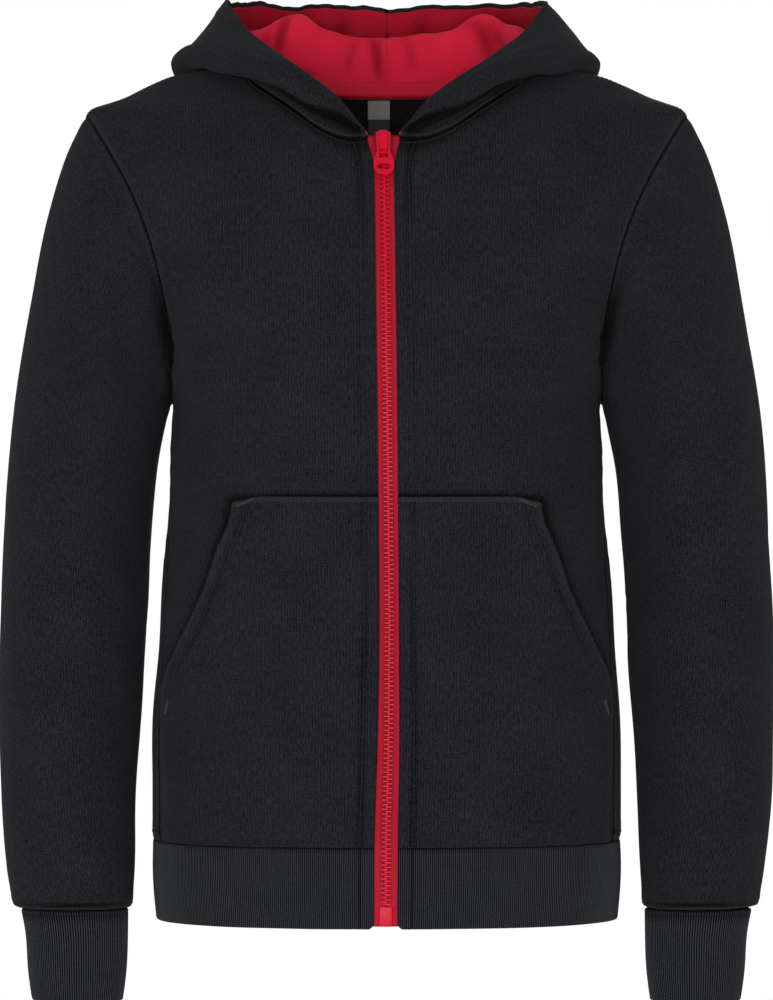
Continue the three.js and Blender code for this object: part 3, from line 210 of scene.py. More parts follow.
# Creases of the body as seen from the front or back: x and z of both ends, half width of the
# trough, height (below zero is a trough), and how far the middle bows sideways.
CREASES = {
    "front_left": [
        (136, -208, 104, -262, 15, -3.2, 3), (128, -160, 120, -216, 16, 2.2, 0),
        (137, -170, 127, -186, 3.2, -1.2, 1), (137, -184, 123, -201, 3.6, -1.7, -1),
        (137, -197, 118, -224, 4.2, -1.9, 2), (133, -228, 116, -240, 4.5, -0.9, 1),
        (158, -84, 140, -128, 11, -1.4, 4), (122, -480, 70, -486, 12, 1.6, 0),
        (60, -120, 84, -236, 26, 1.0, 6), (104, -452, 60, -470, 9, -1.0, 2),
    ],
    "front_right": [
        (136, -206, 108, -252, 13, -2.6, -2), (127, -166, 121, -214, 15, 2.0, 0),
        (137, -174, 125, -188, 3.4, -1.4, -1), (137, -186, 122, -205, 3.2, -1.6, 1),
        (137, -200, 114, -222, 4.6, -1.8, -2), (134, -222, 119, -244, 4.0, -0.8, 1),
        (160, -78, 144, -120, 12, -1.2, -3), (116, -482, 62, -487, 12, 1.4, 0),
        (48, -150, 66, -250, 24, 0.9, -5), (96, -448, 50, -464, 10, -0.9, 0),
    ],
    "back": [
        (132, -212, 92, -268, 16, -3.4, 3), (-132, -210, -98, -256, 15, -3.0, -3),
        (137, -178, 124, -192, 3.6, -1.4, 1), (-137, -182, -122, -200, 3.8, -1.6, 1),
        (137, -194, 116, -220, 4.4, -1.9, -2), (-137, -198, -114, -226, 4.6, -1.8, 2),
        (70, -405, -20, -428, 20, -2.6, 6), (-88, -452, -10, -466, 17, 2.4, -4),
        (96, -350, 30, -372, 15, -1.5, -5), (-104, -372, -44, -396, 14, -1.6, 5),
        (118, -468, 40, -482, 11, 1.5, 2), (-122, -480, -60, -488, 10, 1.3, 0),
        (54, -96, 72, -230, 26, 1.2, 8), (-46, -104, -66, -222, 28, 1.1, -8),
        (160, -90, 146, -132, 11, -1.3, 3), (-162, -84, -148, -126, 12, -1.2, -3),
    ],
}
# Creases of a sleeve, from the armhole (v = 0) to the cuff (1) and round it (u = 0 outer line,
# 0.25 front, 0.5 inner, 0.75 back): u, v, u, v, half width, height in mm, bow.
SLEEVE_CREASES = {
    "left": [
        (0.4, 0.06, 0.2, 0.2, 0.05, -3.0, 0.01), (0.5, 0.48, 0.3, 0.53, 0.035, -2.8, 0.01),
        (0.5, 0.55, 0.68, 0.6, 0.04, -2.6, -0.01), (0.12, 0.9, 0.42, 0.93, 0.03, 2.0, 0),
        (0.44, 0.02, 0.36, 0.1, 0.012, -1.6, 0.004), (0.42, 0.0, 0.33, 0.05, 0.010, -1.2, 0),
        (0.47, 0.03, 0.41, 0.13, 0.012, -1.5, 0), (0.56, 0.02, 0.66, 0.12, 0.016, -1.7, 0.004),
        (0.54, 0.06, 0.6, 0.16, 0.014, -1.3, 0), (0.48, 0.6, 0.36, 0.66, 0.022, -1.5, 0.01),
        (0.06, 0.3, 0.02, 0.52, 0.06, 1.0, 0.01), (0.3, 0.955, 0.2, 0.985, 0.016, -1.1, 0),
        (0.46, 0.94, 0.4, 0.985, 0.014, -1.2, 0), (0.08, 0.95, 0.03, 0.985, 0.016, -1.0, 0),
        (0.62, 0.93, 0.68, 0.985, 0.018, -1.1, 0), (0.86, 0.94, 0.82, 0.985, 0.016, -1.0, 0),
        (0.5, 0.74, 0.34, 0.78, 0.024, -1.2, 0.01), (0.52, 0.8, 0.7, 0.84, 0.03, -1.4, 0),
    ],
    "right": [
        (0.4, 0.07, 0.22, 0.18, 0.05, -2.6, 0.01), (0.5, 0.5, 0.32, 0.46, 0.035, -2.4, -0.01),
        (0.52, 0.52, 0.7, 0.6, 0.04, -2.8, 0.01), (0.08, 0.91, 0.4, 0.93, 0.03, 2.2, 0),
        (0.43, 0.01, 0.35, 0.08, 0.011, -1.5, 0), (0.46, 0.03, 0.38, 0.12, 0.013, -1.6, 0.004),
        (0.4, 0.0, 0.32, 0.04, 0.011, -1.1, 0), (0.55, 0.03, 0.64, 0.13, 0.015, -1.6, 0),
        (0.58, 0.01, 0.7, 0.08, 0.016, -1.3, -0.004), (0.49, 0.56, 0.38, 0.6, 0.02, -1.3, 0),
        (0.1, 0.26, 0.05, 0.5, 0.06, 0.9, -0.01), (0.26, 0.95, 0.34, 0.985, 0.015, -1.2, 0),
        (0.1, 0.945, 0.15, 0.985, 0.018, -1.0, 0), (0.48, 0.95, 0.43, 0.985, 0.014, -1.0, 0),
        (0.66, 0.94, 0.6, 0.985, 0.016, -1.2, 0), (0.9, 0.95, 0.94, 0.985, 0.018, -0.9, 0),
        (0.5, 0.7, 0.36, 0.75, 0.026, -1.3, -0.01), (0.54, 0.84, 0.72, 0.8, 0.028, -1.3, 0),
    ],
}


# ---------------------------------------------------------------- curves and lines
def fade(t):
    """Smooth step: 3 t^2 - 2 t^3, with t held between 0 and 1."""
    t = np.clip(t, 0, 1)
    return t * t * (3 - 2 * t)


def curve(x, y, tight=True):
    """Cubic through the points (x, y). Tight takes the harmonic mean of the neighbouring slopes
    as tangent, and otherwise it is their mean weighted by the other side's span."""
    x = np.asarray(x, float)
    y = np.asarray(y, float)
    extra = (1,) * (y.ndim - 1)
    span = np.diff(x).reshape(-1, *extra)
    slope = np.diff(y, axis=0) / span
    a, b = slope[:-1], slope[1:]
    if tight:
        total = np.where(a + b == 0, 1, a + b)
        middle = np.where(a * b <= 0, 0, 2 * a * b / total)
    else:
        middle = (a * span[1:] + b * span[:-1]) / (span[1:] + span[:-1])
    tangent = np.concatenate([slope[:1], middle, slope[-1:]])

    def at(q):
        q = np.asarray(q, float)
        i = np.clip(np.searchsorted(x, q, side="left") - 1, 0, len(x) - 2)
        width = (x[i + 1] - x[i]).reshape(q.shape + extra)
        t = np.clip((q - x[i]).reshape(q.shape + extra) / width, 0, 1)
        return (
            (2 * t**3 - 3 * t**2 + 1) * y[i]
            + (t**3 - 2 * t**2 + t) * width * tangent[i]
            + (3 * t**2 - 2 * t**3) * y[i + 1]
            + (t**3 - t**2) * width * tangent[i + 1]
        )

    return at


class Line:
    """A line through points, read by the share of its length."""

    def __init__(self, points):
        self.points = np.asarray(points, float)
        steps = np.linalg.norm(np.diff(self.points, axis=0), axis=1)
        self.at = np.concatenate([[0], np.cumsum(steps)])
        self.length = self.at[-1]

    def __call__(self, share):
        place = np.asarray(share, float) * self.length
        return np.stack([np.interp(place, self.at, self.points[:, k]) for k in range(3)], -1)


def joined(*lines):
    """Several lines one after another as one line."""
    parts = [lines[0].points] + [line.points[1:] for line in lines[1:]]
    return Line(np.concatenate(parts))


def turned(line):
    return Line(line.points[::-1])


def mirrored(p, side):
    return p * np.array([side, 1, 1])


def unit(v):
    return v / np.maximum(np.linalg.norm(v, axis=-1, keepdims=True), 1e-9)


# ---------------------------------------------------------------- the body's form
def column(table, k=1):
    """A column of a table as a curve over the table's first column."""
    rows = np.array(table, float)
    return curve(rows[:, 0], rows[:, k])


def all_columns(table):
    """All further columns of a table as one curve over its first."""
    rows = np.array(table, float)
    return curve(rows[:, 0], rows[:, 1:], tight=False)


def through(table, count):
    """Points along a smooth curve through the table's points."""
    knots = np.arange(len(table))
    return curve(knots, np.array(table, float), tight=False)(np.linspace(0, len(table) - 1, count))


body_half, body_front, body_back = column(BODY), column(BODY, 2), column(BODY, 3)
front_edge_x, side_y, wander_x = column(FRONT_EDGE), column(SIDE_SEAM), column(WANDER)
tape_inner = column(TAPE_INNER)


def body_depth(y, z):
    return np.where(y < 0, body_front(z), body_back(z))


def section_rule(p):
    """|x / half width|^n + |y / depth|^n, which is 1 on the body."""
    x, y, z = p[..., 0], p[..., 1], p[..., 2]
    return (np.abs(x) / body_half(z)) ** SQUARENESS + (np.abs(y) / body_depth(y, z)) ** SQUARENESS


def onto_body(p):
    """Each point moved level with itself, away from the middle, onto the body."""
    radius = section_rule(p) ** (1 / SQUARENESS)
    return np.stack([p[..., 0] / radius, p[..., 1] / radius, p[..., 2]], -1)


def body_normal(p):
    """Outward normal: the gradient of the section rule, by differences of 0.2 mm."""
    step = 0.2
    parts = []
    for axis in range(3):
        ahead = p.copy()
        behind = p.copy()
        ahead[..., axis] += step
        behind[..., axis] -= step
        if axis == 2:
            ahead[..., 2] = np.minimum(0, ahead[..., 2])
        if axis == 1:
            keep = np.sign(p[..., 1]) * 1e-4
            ahead[..., 1] = np.where(ahead[..., 1] * p[..., 1] < 0, keep, ahead[..., 1])
            behind[..., 1] = np.where(behind[..., 1] * p[..., 1] < 0, keep, behind[..., 1])
        width = ahead[..., axis] - behind[..., axis]
        parts.append((section_rule(ahead) - section_rule(behind)) / np.where(width == 0, 1, width))
    return unit(np.stack(parts, -1))


def depth_at(x, z, face):
    """y of the body's surface at x and z, on the front (face -1) or back (1)."""
    share = (np.abs(x) / body_half(z)) ** SQUARENESS
    depth = body_front(z) if face < 0 else body_back(z)
    return face * depth * np.maximum(0, 1 - share) ** (1 / SQUARENESS)


def face_line(x, z, face=-1):
    """The line on the body's front (face -1) or back (1) at x and z."""
    return Line(np.stack([x, depth_at(x, z, face), z], -1))


def border_on_body(table, face, count=400):
    """A border given by x and z, curved through its knots, on the front or back of the body."""
    x, z = through(table, count).T
    return face_line(x, np.minimum(0, z), face)


def side_seam_line():
    z = np.linspace(SIDE_SEAM[0][0], SIDE_SEAM[-1][0], 300)
    y = side_y(z)
    share = (np.abs(y) / body_depth(np.where(y == 0, 1, y), z)) ** SQUARENESS
    return Line(np.stack([body_half(z) * (1 - share) ** (1 / SQUARENESS), y, z], -1))


def front_edge_line():
    z = np.linspace(HEM_SEAM, NECK_TOP, 300)
    return face_line(front_edge_x(z), z)


def shoulder_line():
    z = np.linspace(0, ARMHOLE_FRONT[0][1], 300)
    return Line(np.stack([body_half(z), 0 * z, z], -1))


def hem_line(start, end, z):
    """The body's section at z from one angle to another; 0 is the front, pi the back."""
    angle = np.linspace(start, end, 900)
    depth = np.where(np.cos(angle) > 0, body_front(z), body_back(z))
    ring = np.stack([np.sin(angle) * body_half(z), -np.cos(angle) * depth, 0 * angle + z], -1)
    return Line(onto_body(ring))


def angle_of(p):
    """Angle of a point round the body, from the front over the wearer's left."""
    return math.atan2(p[0] / float(body_half(p[2])), -p[1] / float(body_depth(p[1], p[2])))


side_line = side_seam_line()
shoulder = shoulder_line()
neck_front = border_on_body(NECK_FRONT, -1)
neck_back = border_on_body(NECK_BACK, 1)
arm_front = border_on_body(ARMHOLE_FRONT, -1)
arm_back = border_on_body(ARMHOLE_BACK, 1)


def wandered(p):
    """The zip's strip moved sideways by the wander table, fading with the distance from it."""
    x, y, z = p[..., 0], p[..., 1], p[..., 2]
    reach = fade(1 - np.abs(x) / WANDER_REACH) * fade((-30 - y) / 25)
    return np.stack([x + wander_x(z) * reach, y, z], -1)


# ---------------------------------------------------------------- grids, relief and cloth shells
NEAR = np.array([0, 0.15, 0.45, 1.0, 1.8, 3.0, 5.0])


def stations(length, middle, near=NEAR):
    """Shares of a length: close together near both ends, evenly spaced between."""
    length = np.asarray(length, float)[..., None]
    a = near / length
    b = 1 - near[::-1] / length
    t = np.linspace(0, 1, middle + 2)[1:-1]
    inner = a[..., -1:] + t * (b[..., :1] - a[..., -1:])
    return np.concatenate([a, inner, b], -1)


def coons(bottom, top, left, right, u, v):
    """Patch between four borders: the two rulings added, less the corners' bilinear blend."""
    a, b, c, d = bottom(0.0), bottom(1.0), top(0.0), top(1.0)
    u3, v3 = u[..., None], v[..., None]
    rule = bottom(u) * (1 - v3) + top(u) * v3 + left(v) * (1 - u3) + right(v) * u3
    corners = a * (1 - u3) * (1 - v3) + b * u3 * (1 - v3) + c * (1 - u3) * v3 + d * u3 * v3
    return rule - corners


def grid_normals(p, around=False):
    """Cross product of the differences along the columns and the rows."""
    du = np.roll(p, -1, 1) - np.roll(p, 1, 1) if around else np.gradient(p, axis=1)
    return unit(np.cross(du, np.gradient(p, axis=0)))


def run(p, axis):
    """Distance along a grid's lines from its first border and to its last."""
    step = np.linalg.norm(np.diff(p, axis=axis), axis=-1)
    lead = np.zeros_like(np.take(step, [0], axis=axis))
    there = np.concatenate([lead, np.cumsum(step, axis=axis)], axis=axis)
    whole = np.take(there, [-1], axis=axis)
    return there, whole - there


def bell(d, at, width):
    """1 where d is at the middle of the bell, falling off on both sides as exp(-square)."""
    return np.exp(-(((d - at) / width) ** 2))


def least(*fields):
    """The smallest of several fields at each point."""
    return np.minimum.reduce(fields)


def crease(a, b, table):
    """Soft troughs and ridges: exp(-(across / width)^2) times the root of sin(pi along), on
    lines that bow by 4 along (1 - along)."""
    total = np.zeros_like(a)
    for a1, b1, a2, b2, width, height, bow in table:
        da, db = a2 - a1, b2 - b1
        length = math.hypot(da, db)
        along = ((a - a1) * da + (b - b1) * db) / length**2
        across = ((a - a1) * db - (b - b1) * da) / length - 4 * bow * along * (1 - along)
        ends = np.sqrt(np.sin(np.pi * np.clip(along, 0, 1)))
        total = total + height * bell(across, 0, width) * ends
    return total


TURN = 6.283  # a full turn in every wave below, rounded


def swell(a, b, seed, reach, height):
    """Slow unevenness: six sine waves of about the length reach, in all directions."""
    rng = np.random.default_rng(seed)
    total = np.zeros_like(a)
    for _ in range(6):
        turn, wave, phase = rng.uniform(0, np.pi), reach * rng.uniform(0.6, 1.6), rng.uniform(0, 6.3)
        total = total + np.sin(TURN * (a * np.cos(turn) + b * np.sin(turn)) / wave + phase)
    return height * total / 2.45


def ripple(along, seed, reach, height):
    """Uneven waves along a seam: four sines of different lengths."""
    rng = np.random.default_rng(seed)
    total = np.zeros_like(along)
    for _ in range(4):
        total = total + np.sin(TURN * along / (reach * rng.uniform(0.55, 1.6)) + rng.uniform(0, 6.3))
    return height * total / 2


def rolled(d, thickness):
    """How far a face sinks at distance d from a rim: a quarter circle of half the thickness."""
    r = thickness / 2
    t = 1 - np.clip(d / r, 0, 1)
    return r * (1 - np.sqrt(1 - t * t))


def seam(d, depth=0.9, reach=2.6):
    """The dip beside a seam, with a slight swelling next to it."""
    swelling = bell(d, 3.2 * reach, 1.6 * reach)
    return -depth * bell(d, 0, reach) + 0.28 * depth * swelling


def seam_shading(d, dark=0.85, light=0.5):
    """Painted shade along a seam's valley and a painted highlight on the ridge beside it, at
    distance d.
    """
    return dark * bell(d, 0, 1.1) - light * bell(d, 2.6, 1.0)


def quads_of(index):
    a, b, c, d = index[:-1, :-1], index[:-1, 1:], index[1:, 1:], index[1:, :-1]
    return np.stack([a, b, c, d], -1).reshape(-1, 4)


def put_mesh(name, points, polygons, uv=None, smooth=True, painted_shading=None):
    """A mesh in metres from points in mm and arrays of polygons, its faces turned outwards by
    the sign of its volume. uv gives two numbers for each corner, in the polygons' order. The
    last argument gives the painted shade of each point, kept as a point attribute: 1 in a
    seam's valley, below 0 a painted highlight on a ridge."""
    points = wandered(np.asarray(points, float)) * MM
    volume = 0.0
    for group in polygons:
        for k in range(1, group.shape[1] - 1):
            a, b, c = points[group[:, 0]], points[group[:, k]], points[group[:, k + 1]]
            volume += float(np.einsum("ij,ij->", a, np.cross(b, c)))
    if volume < 0:
        polygons = [group[:, ::-1] for group in polygons]
        uv = None if uv is None else [part[:, ::-1] for part in uv]
    mesh = bpy.data.meshes.new(name)
    corners = np.concatenate([group.ravel() for group in polygons])
    sizes = np.concatenate([np.full(len(group), group.shape[1]) for group in polygons])
    starts = np.concatenate([[0], np.cumsum(sizes)[:-1]])
    mesh.vertices.add(len(points))
    mesh.vertices.foreach_set("co", points.astype(np.float32).ravel())
    mesh.loops.add(len(corners))
    mesh.loops.foreach_set("vertex_index", corners.astype(np.int32))
    mesh.polygons.add(len(sizes))
    mesh.polygons.foreach_set("loop_start", starts.astype(np.int32))
    mesh.polygons.foreach_set("use_smooth", np.full(len(sizes), smooth))
    if uv is not None:
        layer = mesh.uv_layers.new(name="cloth")
        flat = np.concatenate([part.reshape(-1, 2) for part in uv])
        layer.data.foreach_set("uv", flat.astype(np.float32).ravel())
    if painted_shading is not None:
        tone = mesh.attributes.new("painted_shading", "FLOAT", "POINT")
        tone.data.foreach_set("value", painted_shading.astype(np.float32))
    mesh.update(calc_edges=True)
    mesh.validate()
    piece = bpy.data.objects.new(name, mesh)
    bpy.context.scene.collection.objects.link(piece)
    return piece


def shell(name, outer, inner, uv, around=False, painted_shading=None):
    """A closed sheet: an outer and an inner grid of points that share their rims."""
    rows, columns = outer.shape[:2]
    index = np.arange(rows * columns).reshape(rows, columns)
    inside = np.ones((rows, columns), bool)
    inside[[0, -1]] = False
    if not around:
        inside[:, [0, -1]] = False
    under = index.copy()
    under[inside] = rows * columns + np.arange(inside.sum())
    points = np.concatenate([outer.reshape(-1, 3), inner[inside]])
    if around:
        index = np.concatenate([index, index[:, :1]], 1)
        under = np.concatenate([under, under[:, :1]], 1)
    flat = uv.reshape(-1, 2) * MM
    corner = quads_of(np.arange(uv.shape[0] * uv.shape[1]).reshape(uv.shape[:2]))
    faces = np.concatenate([quads_of(index), quads_of(under)[:, ::-1]])
    uvs = np.concatenate([flat[corner], flat[corner][:, ::-1]])
    if painted_shading is not None:
        painted_shading = np.concatenate([painted_shading.ravel(), painted_shading[inside]])
    return put_mesh(name, points, [faces], [uvs], painted_shading=painted_shading)


def finished(piece, look, nodes=(), body="garment"):
    """Gives a piece its material and its body, and hides the nodes that it stands for."""
    piece.data.materials.append(look.material)
    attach(piece, body)
    if nodes:
        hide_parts(*nodes)
    return piece


def cloth_sheet(node, surface, inward, rim, thickness, uv, look, side=1, around=False, painted_shading=None):
    """A cut piece in place of a solid: cloth that is laid inward from a surface, with its rims
    rolled by their distance, mirrored to its side. Gives its outer and its inner face."""
    sink = rolled(rim, thickness)[..., None]
    outer = mirrored(surface + inward * sink, side)
    inner = mirrored(surface + inward * (thickness - sink), side)
    piece = shell(node + "_cloth", outer, inner, uv, around, painted_shading)
    finished(piece, look, [node])
    return outer, inner


def tube_quads(size, bands):
    """Quads between rings of points that follow one another."""
    ring = np.arange(size)
    nxt = (ring + 1) % size
    return np.concatenate([
        np.stack([k * size + ring, k * size + nxt, (k + 1) * size + nxt, (k + 1) * size + ring], -1)
        for k in range(bands)
    ])


# ---------------------------------------------------------------- materials
class Value:
    """A number in a material, on which + - * and / add Math nodes."""

    def __init__(self, look, socket):
        self.look = look
        self.socket = socket

    def _math(self, operation, *values):
        inputs = dict(enumerate(values))
        return self.look.node("ShaderNodeMath", {"operation": operation}, inputs)

    def __add__(self, other): return self._math("ADD", self, other)
    def __radd__(self, other): return self._math("ADD", other, self)
    def __sub__(self, other): return self._math("SUBTRACT", self, other)
    def __rsub__(self, other): return self._math("SUBTRACT", other, self)
    def __mul__(self, other): return self._math("MULTIPLY", self, other)
    def __rmul__(self, other): return self._math("MULTIPLY", other, self)
    def __truediv__(self, other): return self._math("DIVIDE", self, other)
    def __rtruediv__(self, other): return self._math("DIVIDE", other, self)
    def fract(self): return self._math("FRACT", self)
    def abs(self): return self._math("ABSOLUTE", self)
    def cos(self): return self._math("COSINE", self)


class Tree:
    """A node tree that is built node by node."""

    def __init__(self, tree):
        self.tree = tree

    def node(self, kind, settings=None, inputs=None, output=0):
        """A node of a type, with its settings and then the values or links of its sockets."""
        made = self.tree.nodes.new(kind)
        for key, value in (settings or {}).items():
            setattr(made, key, value)
        for key, value in (inputs or {}).items():
            if isinstance(value, Value):
                self.tree.links.new(value.socket, made.inputs[key])
            else:
                made.inputs[key].default_value = value
        return Value(self, made.outputs[output])


class Look(Tree):
    """A material that is built node by node on one Principled shader."""

    def __init__(self, name, rough, sheen=0.0, sheen_rough=0.5, sheen_tint=(1, 1, 1), specular=0.5):
        self.material = bpy.data.materials.new(name)
        self.material.use_nodes = True
        super().__init__(self.material.node_tree)
        self.shader = next(n for n in self.tree.nodes if n.type == "BSDF_PRINCIPLED")
        for socket, value in (
            ("Roughness", rough), ("Specular IOR Level", specular), ("Sheen Weight", sheen),
            ("Sheen Roughness", sheen_rough), ("Sheen Tint", (*sheen_tint, 1)),
        ):
            self.give(socket, value)

    def cloth_place(self):
        """Place on the cloth in millimetres, across and along the grain, and both as a vector."""
        uv = self.node("ShaderNodeUVMap", {"uv_map": "cloth"})
        parts = self.node("ShaderNodeSeparateXYZ", {}, {0: uv})
        along = Value(self, parts.socket.node.outputs[1])
        return parts * 1000, along * 1000, uv

    def noise(self, place, scale, detail=2.0, rough=0.5):
        values = {"Vector": place, "Scale": scale, "Detail": detail, "Roughness": rough}
        return self.node("ShaderNodeTexNoise", {}, values)

    def stretched(self, place, scale):
        return self.node("ShaderNodeMapping", {}, {"Vector": place, "Scale": scale})

    def blend(self, factor, a, b):
        """Colour a where factor is 0 and b where it is 1."""
        rgba = [(*c, 1) if isinstance(c, tuple) else c for c in (a, b)]
        return self.node("ShaderNodeMix", {"data_type": "RGBA"}, {0: factor, 6: rgba[0], 7: rgba[1]}, 2)

    def cloth_colour(self, tone, dark, light):
        """Yarn colour by tone, with painted shade and painted highlight from a point attribute:
        darker in valleys and creases, paler on the ridges.
        """
        painted_shading = self.node("ShaderNodeAttribute", {"attribute_name": "painted_shading"}, {}, 2)
        yarn = self.blend(tone - painted_shading * 0.8, dark, light)
        # Painted shade: where the attribute is high the colour turns to a near-black copy of the dark
        # yarn.
        self.give("Base Color", self.blend(painted_shading, yarn, tuple(0.12 * c for c in dark)))

    def give(self, socket, value):
        if isinstance(value, Value):
            self.tree.links.new(value.socket, self.shader.inputs[socket])
        else:
            self.shader.inputs[socket].default_value = value

    def texture(self, rough, height, distance, strength):
        """Roughness, and bumps of a height that is given as a share of the distance, in metres."""
        self.give("Roughness", rough)
        values = {"Height": height, "Distance": distance, "Strength": strength}
        self.give("Normal", self.node("ShaderNodeBump", {}, values))


YARN_SHEEN = (0.75, 0.78, 0.85)


def knit_height(across, along, wale, course):
    """Height of a knitted face: rows of V-shaped loops, wale mm apart and course mm high."""
    tri = ((across / wale).fract() - 0.5).abs() * 2
    loops = ((along / course + tri * 0.55) * TURN).cos()
    return (1 - tri * tri) * (0.72 + loops * 0.28)


def fleece_look(name, dark, light):
    """Brushed sweatshirt knit: fine wales, mottled yarn, a little nap, and painted shade in the
    seam valleys.
    """
    look = Look(name, 0.92, sheen=0.05, sheen_tint=YARN_SHEEN, specular=0.12)
    across, along, place = look.cloth_place()
    drift = look.noise(place, 90, 2) * 0.8 - 0.4
    knit = knit_height(across + drift, along, wale=1.85, course=1.3)
    streaks = look.noise(look.stretched(place, (700, 240, 1)), 1.0, 3)
    cloud = look.noise(place, 26, 3)
    grit = look.noise(place, 1250, 2, 0.7)
    tone = knit * 0.5 + streaks * 1.2 + grit * 3.0 + cloud * 0.3 - 2.02
    look.cloth_colour(tone, dark, light)
    look.texture(0.86 + grit * 0.12, knit * 0.8 + grit * 0.9 + streaks * 0.6, 0.00035, 0.9)
    return look


def rib_look(name, dark, light):
    """Knitted rib: a painted highlight on the ribs and painted shade in the valleys between them,
    loops along each rib, and uneven yarn.
    """
    look = Look(name, 0.9, sheen=0.05, sheen_tint=YARN_SHEEN, specular=0.12)
    across, along, place = look.cloth_place()
    rib = (across * (6.2832 / RIB_PITCH)).cos() * 0.5 + 0.5
    loops = ((along / 1.3 + rib * 0.3) * TURN).cos() * 0.5 + 0.5
    streaks = look.noise(look.stretched(place, (500, 60, 1)), 1.0, 3)
    grit = look.noise(place, 900, 3, 0.7)
    # Painted light: the colour is pale on each rib and dark in its valleys, by the rib's profile.
    look.cloth_colour(rib * 1.6 + loops * 0.1 + streaks * 0.6 + grit * 1.0 - 1.15, dark, light)
    look.texture(0.84 + grit * 0.14, loops * 0.5 + grit * 0.8, 0.00025, 0.8)
    return look


def jersey_look(name, dark, light):
    """Thin lining jersey, finer and smoother than the fleece."""
    look = Look(name, 0.85, sheen=0.1, sheen_rough=0.4, sheen_tint=(1.0, 0.45, 0.45), specular=0.15)
    across, along, place = look.cloth_place()
    knit = knit_height(across, along, wale=1.3, course=1.0)
    cloud = look.noise(place, 34, 3)
    grit = look.noise(place, 1200, 2)
    look.cloth_colour(knit * 0.4 + cloud * 0.5 + grit * 0.6, dark, light)
    look.texture(0.8 + grit * 0.12, knit + grit * 0.6, 0.00018, 0.7)
    return look


def woven_look(name, dark, light):
    """Woven tape: a herringbone of twill lines that turns every 3 mm."""
    look = Look(name, 0.7, sheen=0.05, specular=0.3)
    across, along, place = look.cloth_place()
    pitch, reach = 0.6, 3.0
    turn = ((across / reach).fract() - 0.5).abs() * reach
    twill = (((along + turn) / pitch) * TURN).cos() * 0.5 + 0.5
    grit = look.noise(place, 1600, 2)
    look.cloth_colour(twill * 0.5 + grit * 0.5, dark, light)
    look.texture(0.64 + grit * 0.12, twill + grit * 0.3, 0.00012, 0.6)
    return look


def satin_look(name, dark, light):
    """Label satin: close floats across, with a faint slub and soft gloss."""
    look = Look(name, 0.5, sheen=0.05, specular=0.45)
    _, along, place = look.cloth_place()
    pitch = 0.28
    floats = ((along / pitch) * TURN).cos() * 0.5 + 0.5
    slub = look.noise(look.stretched(place, (40, 900, 1)), 1.0, 3)
    look.give("Base Color", look.blend(floats * 0.3 + slub * 0.7, dark, light))
    look.texture(0.42 + slub * 0.16, floats + slub * 0.6, 0.00005, 0.5)
    return look


def plastic_look(name, dark, light):
    """Moulded coloured plastic with a fine matt texture and small handling marks."""
    look = Look(name, 0.42, specular=0.3)
    place = look.node("ShaderNodeTexCoord", {}, {}, 3)
    fine = look.noise(place, 2600, 2)
    marks = look.noise(place, 180, 4, 0.65)
    look.give("Base Color", look.blend(marks * 0.7 + fine * 0.2, dark, light))
    look.texture(0.34 + marks * 0.16, fine + marks * 0.8, 0.00004, 0.5)
    return look


def thread_look(name, dark, light):
    """Twisted sewing thread."""
    look = Look(name, 0.7, sheen=0.1, specular=0.35)
    place = look.node("ShaderNodeTexCoord", {}, {}, 3)
    fine = look.noise(place, 3200, 2)
    look.give("Base Color", look.blend(fine, dark, light))
    look.texture(0.7, fine, 0.00006, 0.6)
    return look


fleece = fleece_look("brushed_fleece", (0.0033, 0.0035, 0.0041), (0.0325, 0.0345, 0.0400))
ribbing = rib_look("knitted_rib", (0.0012, 0.0013, 0.0015), (0.0500, 0.0530, 0.0610))
lining = jersey_look("red_lining_jersey", (0.70, 0.008, 0.034), (1.0, 0.022, 0.072))
tape_red = woven_look("red_zip_tape", (0.60, 0.004, 0.026), (0.86, 0.008, 0.052))
plastic_red = plastic_look("red_moulded_plastic", (0.72, 0.002, 0.026), (0.94, 0.004, 0.044))
satin_grey = satin_look("grey_label_satin", (0.20, 0.20, 0.19), (0.36, 0.36, 0.34))
satin_black = satin_look("black_label_satin", (0.008, 0.008, 0.009), (0.020, 0.020, 0.022))
thread_black = thread_look("black_thread", (0.007, 0.008, 0.009), (0.016, 0.017, 0.020))
thread_grey = thread_look("grey_thread", (0.035, 0.038, 0.045), (0.075, 0.08, 0.09))
thread_red = thread_look("red_thread", (0.55, 0.006, 0.022), (0.75, 0.014, 0.042))


# ---------------------------------------------------------------- stitches
def line_on(p, d, at, axis):
    """The line of a grid's surface where the distance field d has the value at."""
    p2 = p if axis == 1 else p.swapaxes(0, 1)
    d2 = d if axis == 1 else d.T
    if d2[0, 0] > d2[0, -1]:
        p2, d2 = p2[:, ::-1], d2[:, ::-1]
    i = np.clip((d2 < at).sum(1) - 1, 0, d2.shape[1] - 2)
    rows = np.arange(len(d2))
    t = (at - d2[rows, i]) / np.maximum(d2[rows, i + 1] - d2[rows, i], 1e-6)
    return p2[rows, i] * (1 - t[:, None]) + p2[rows, i + 1] * t[:, None]


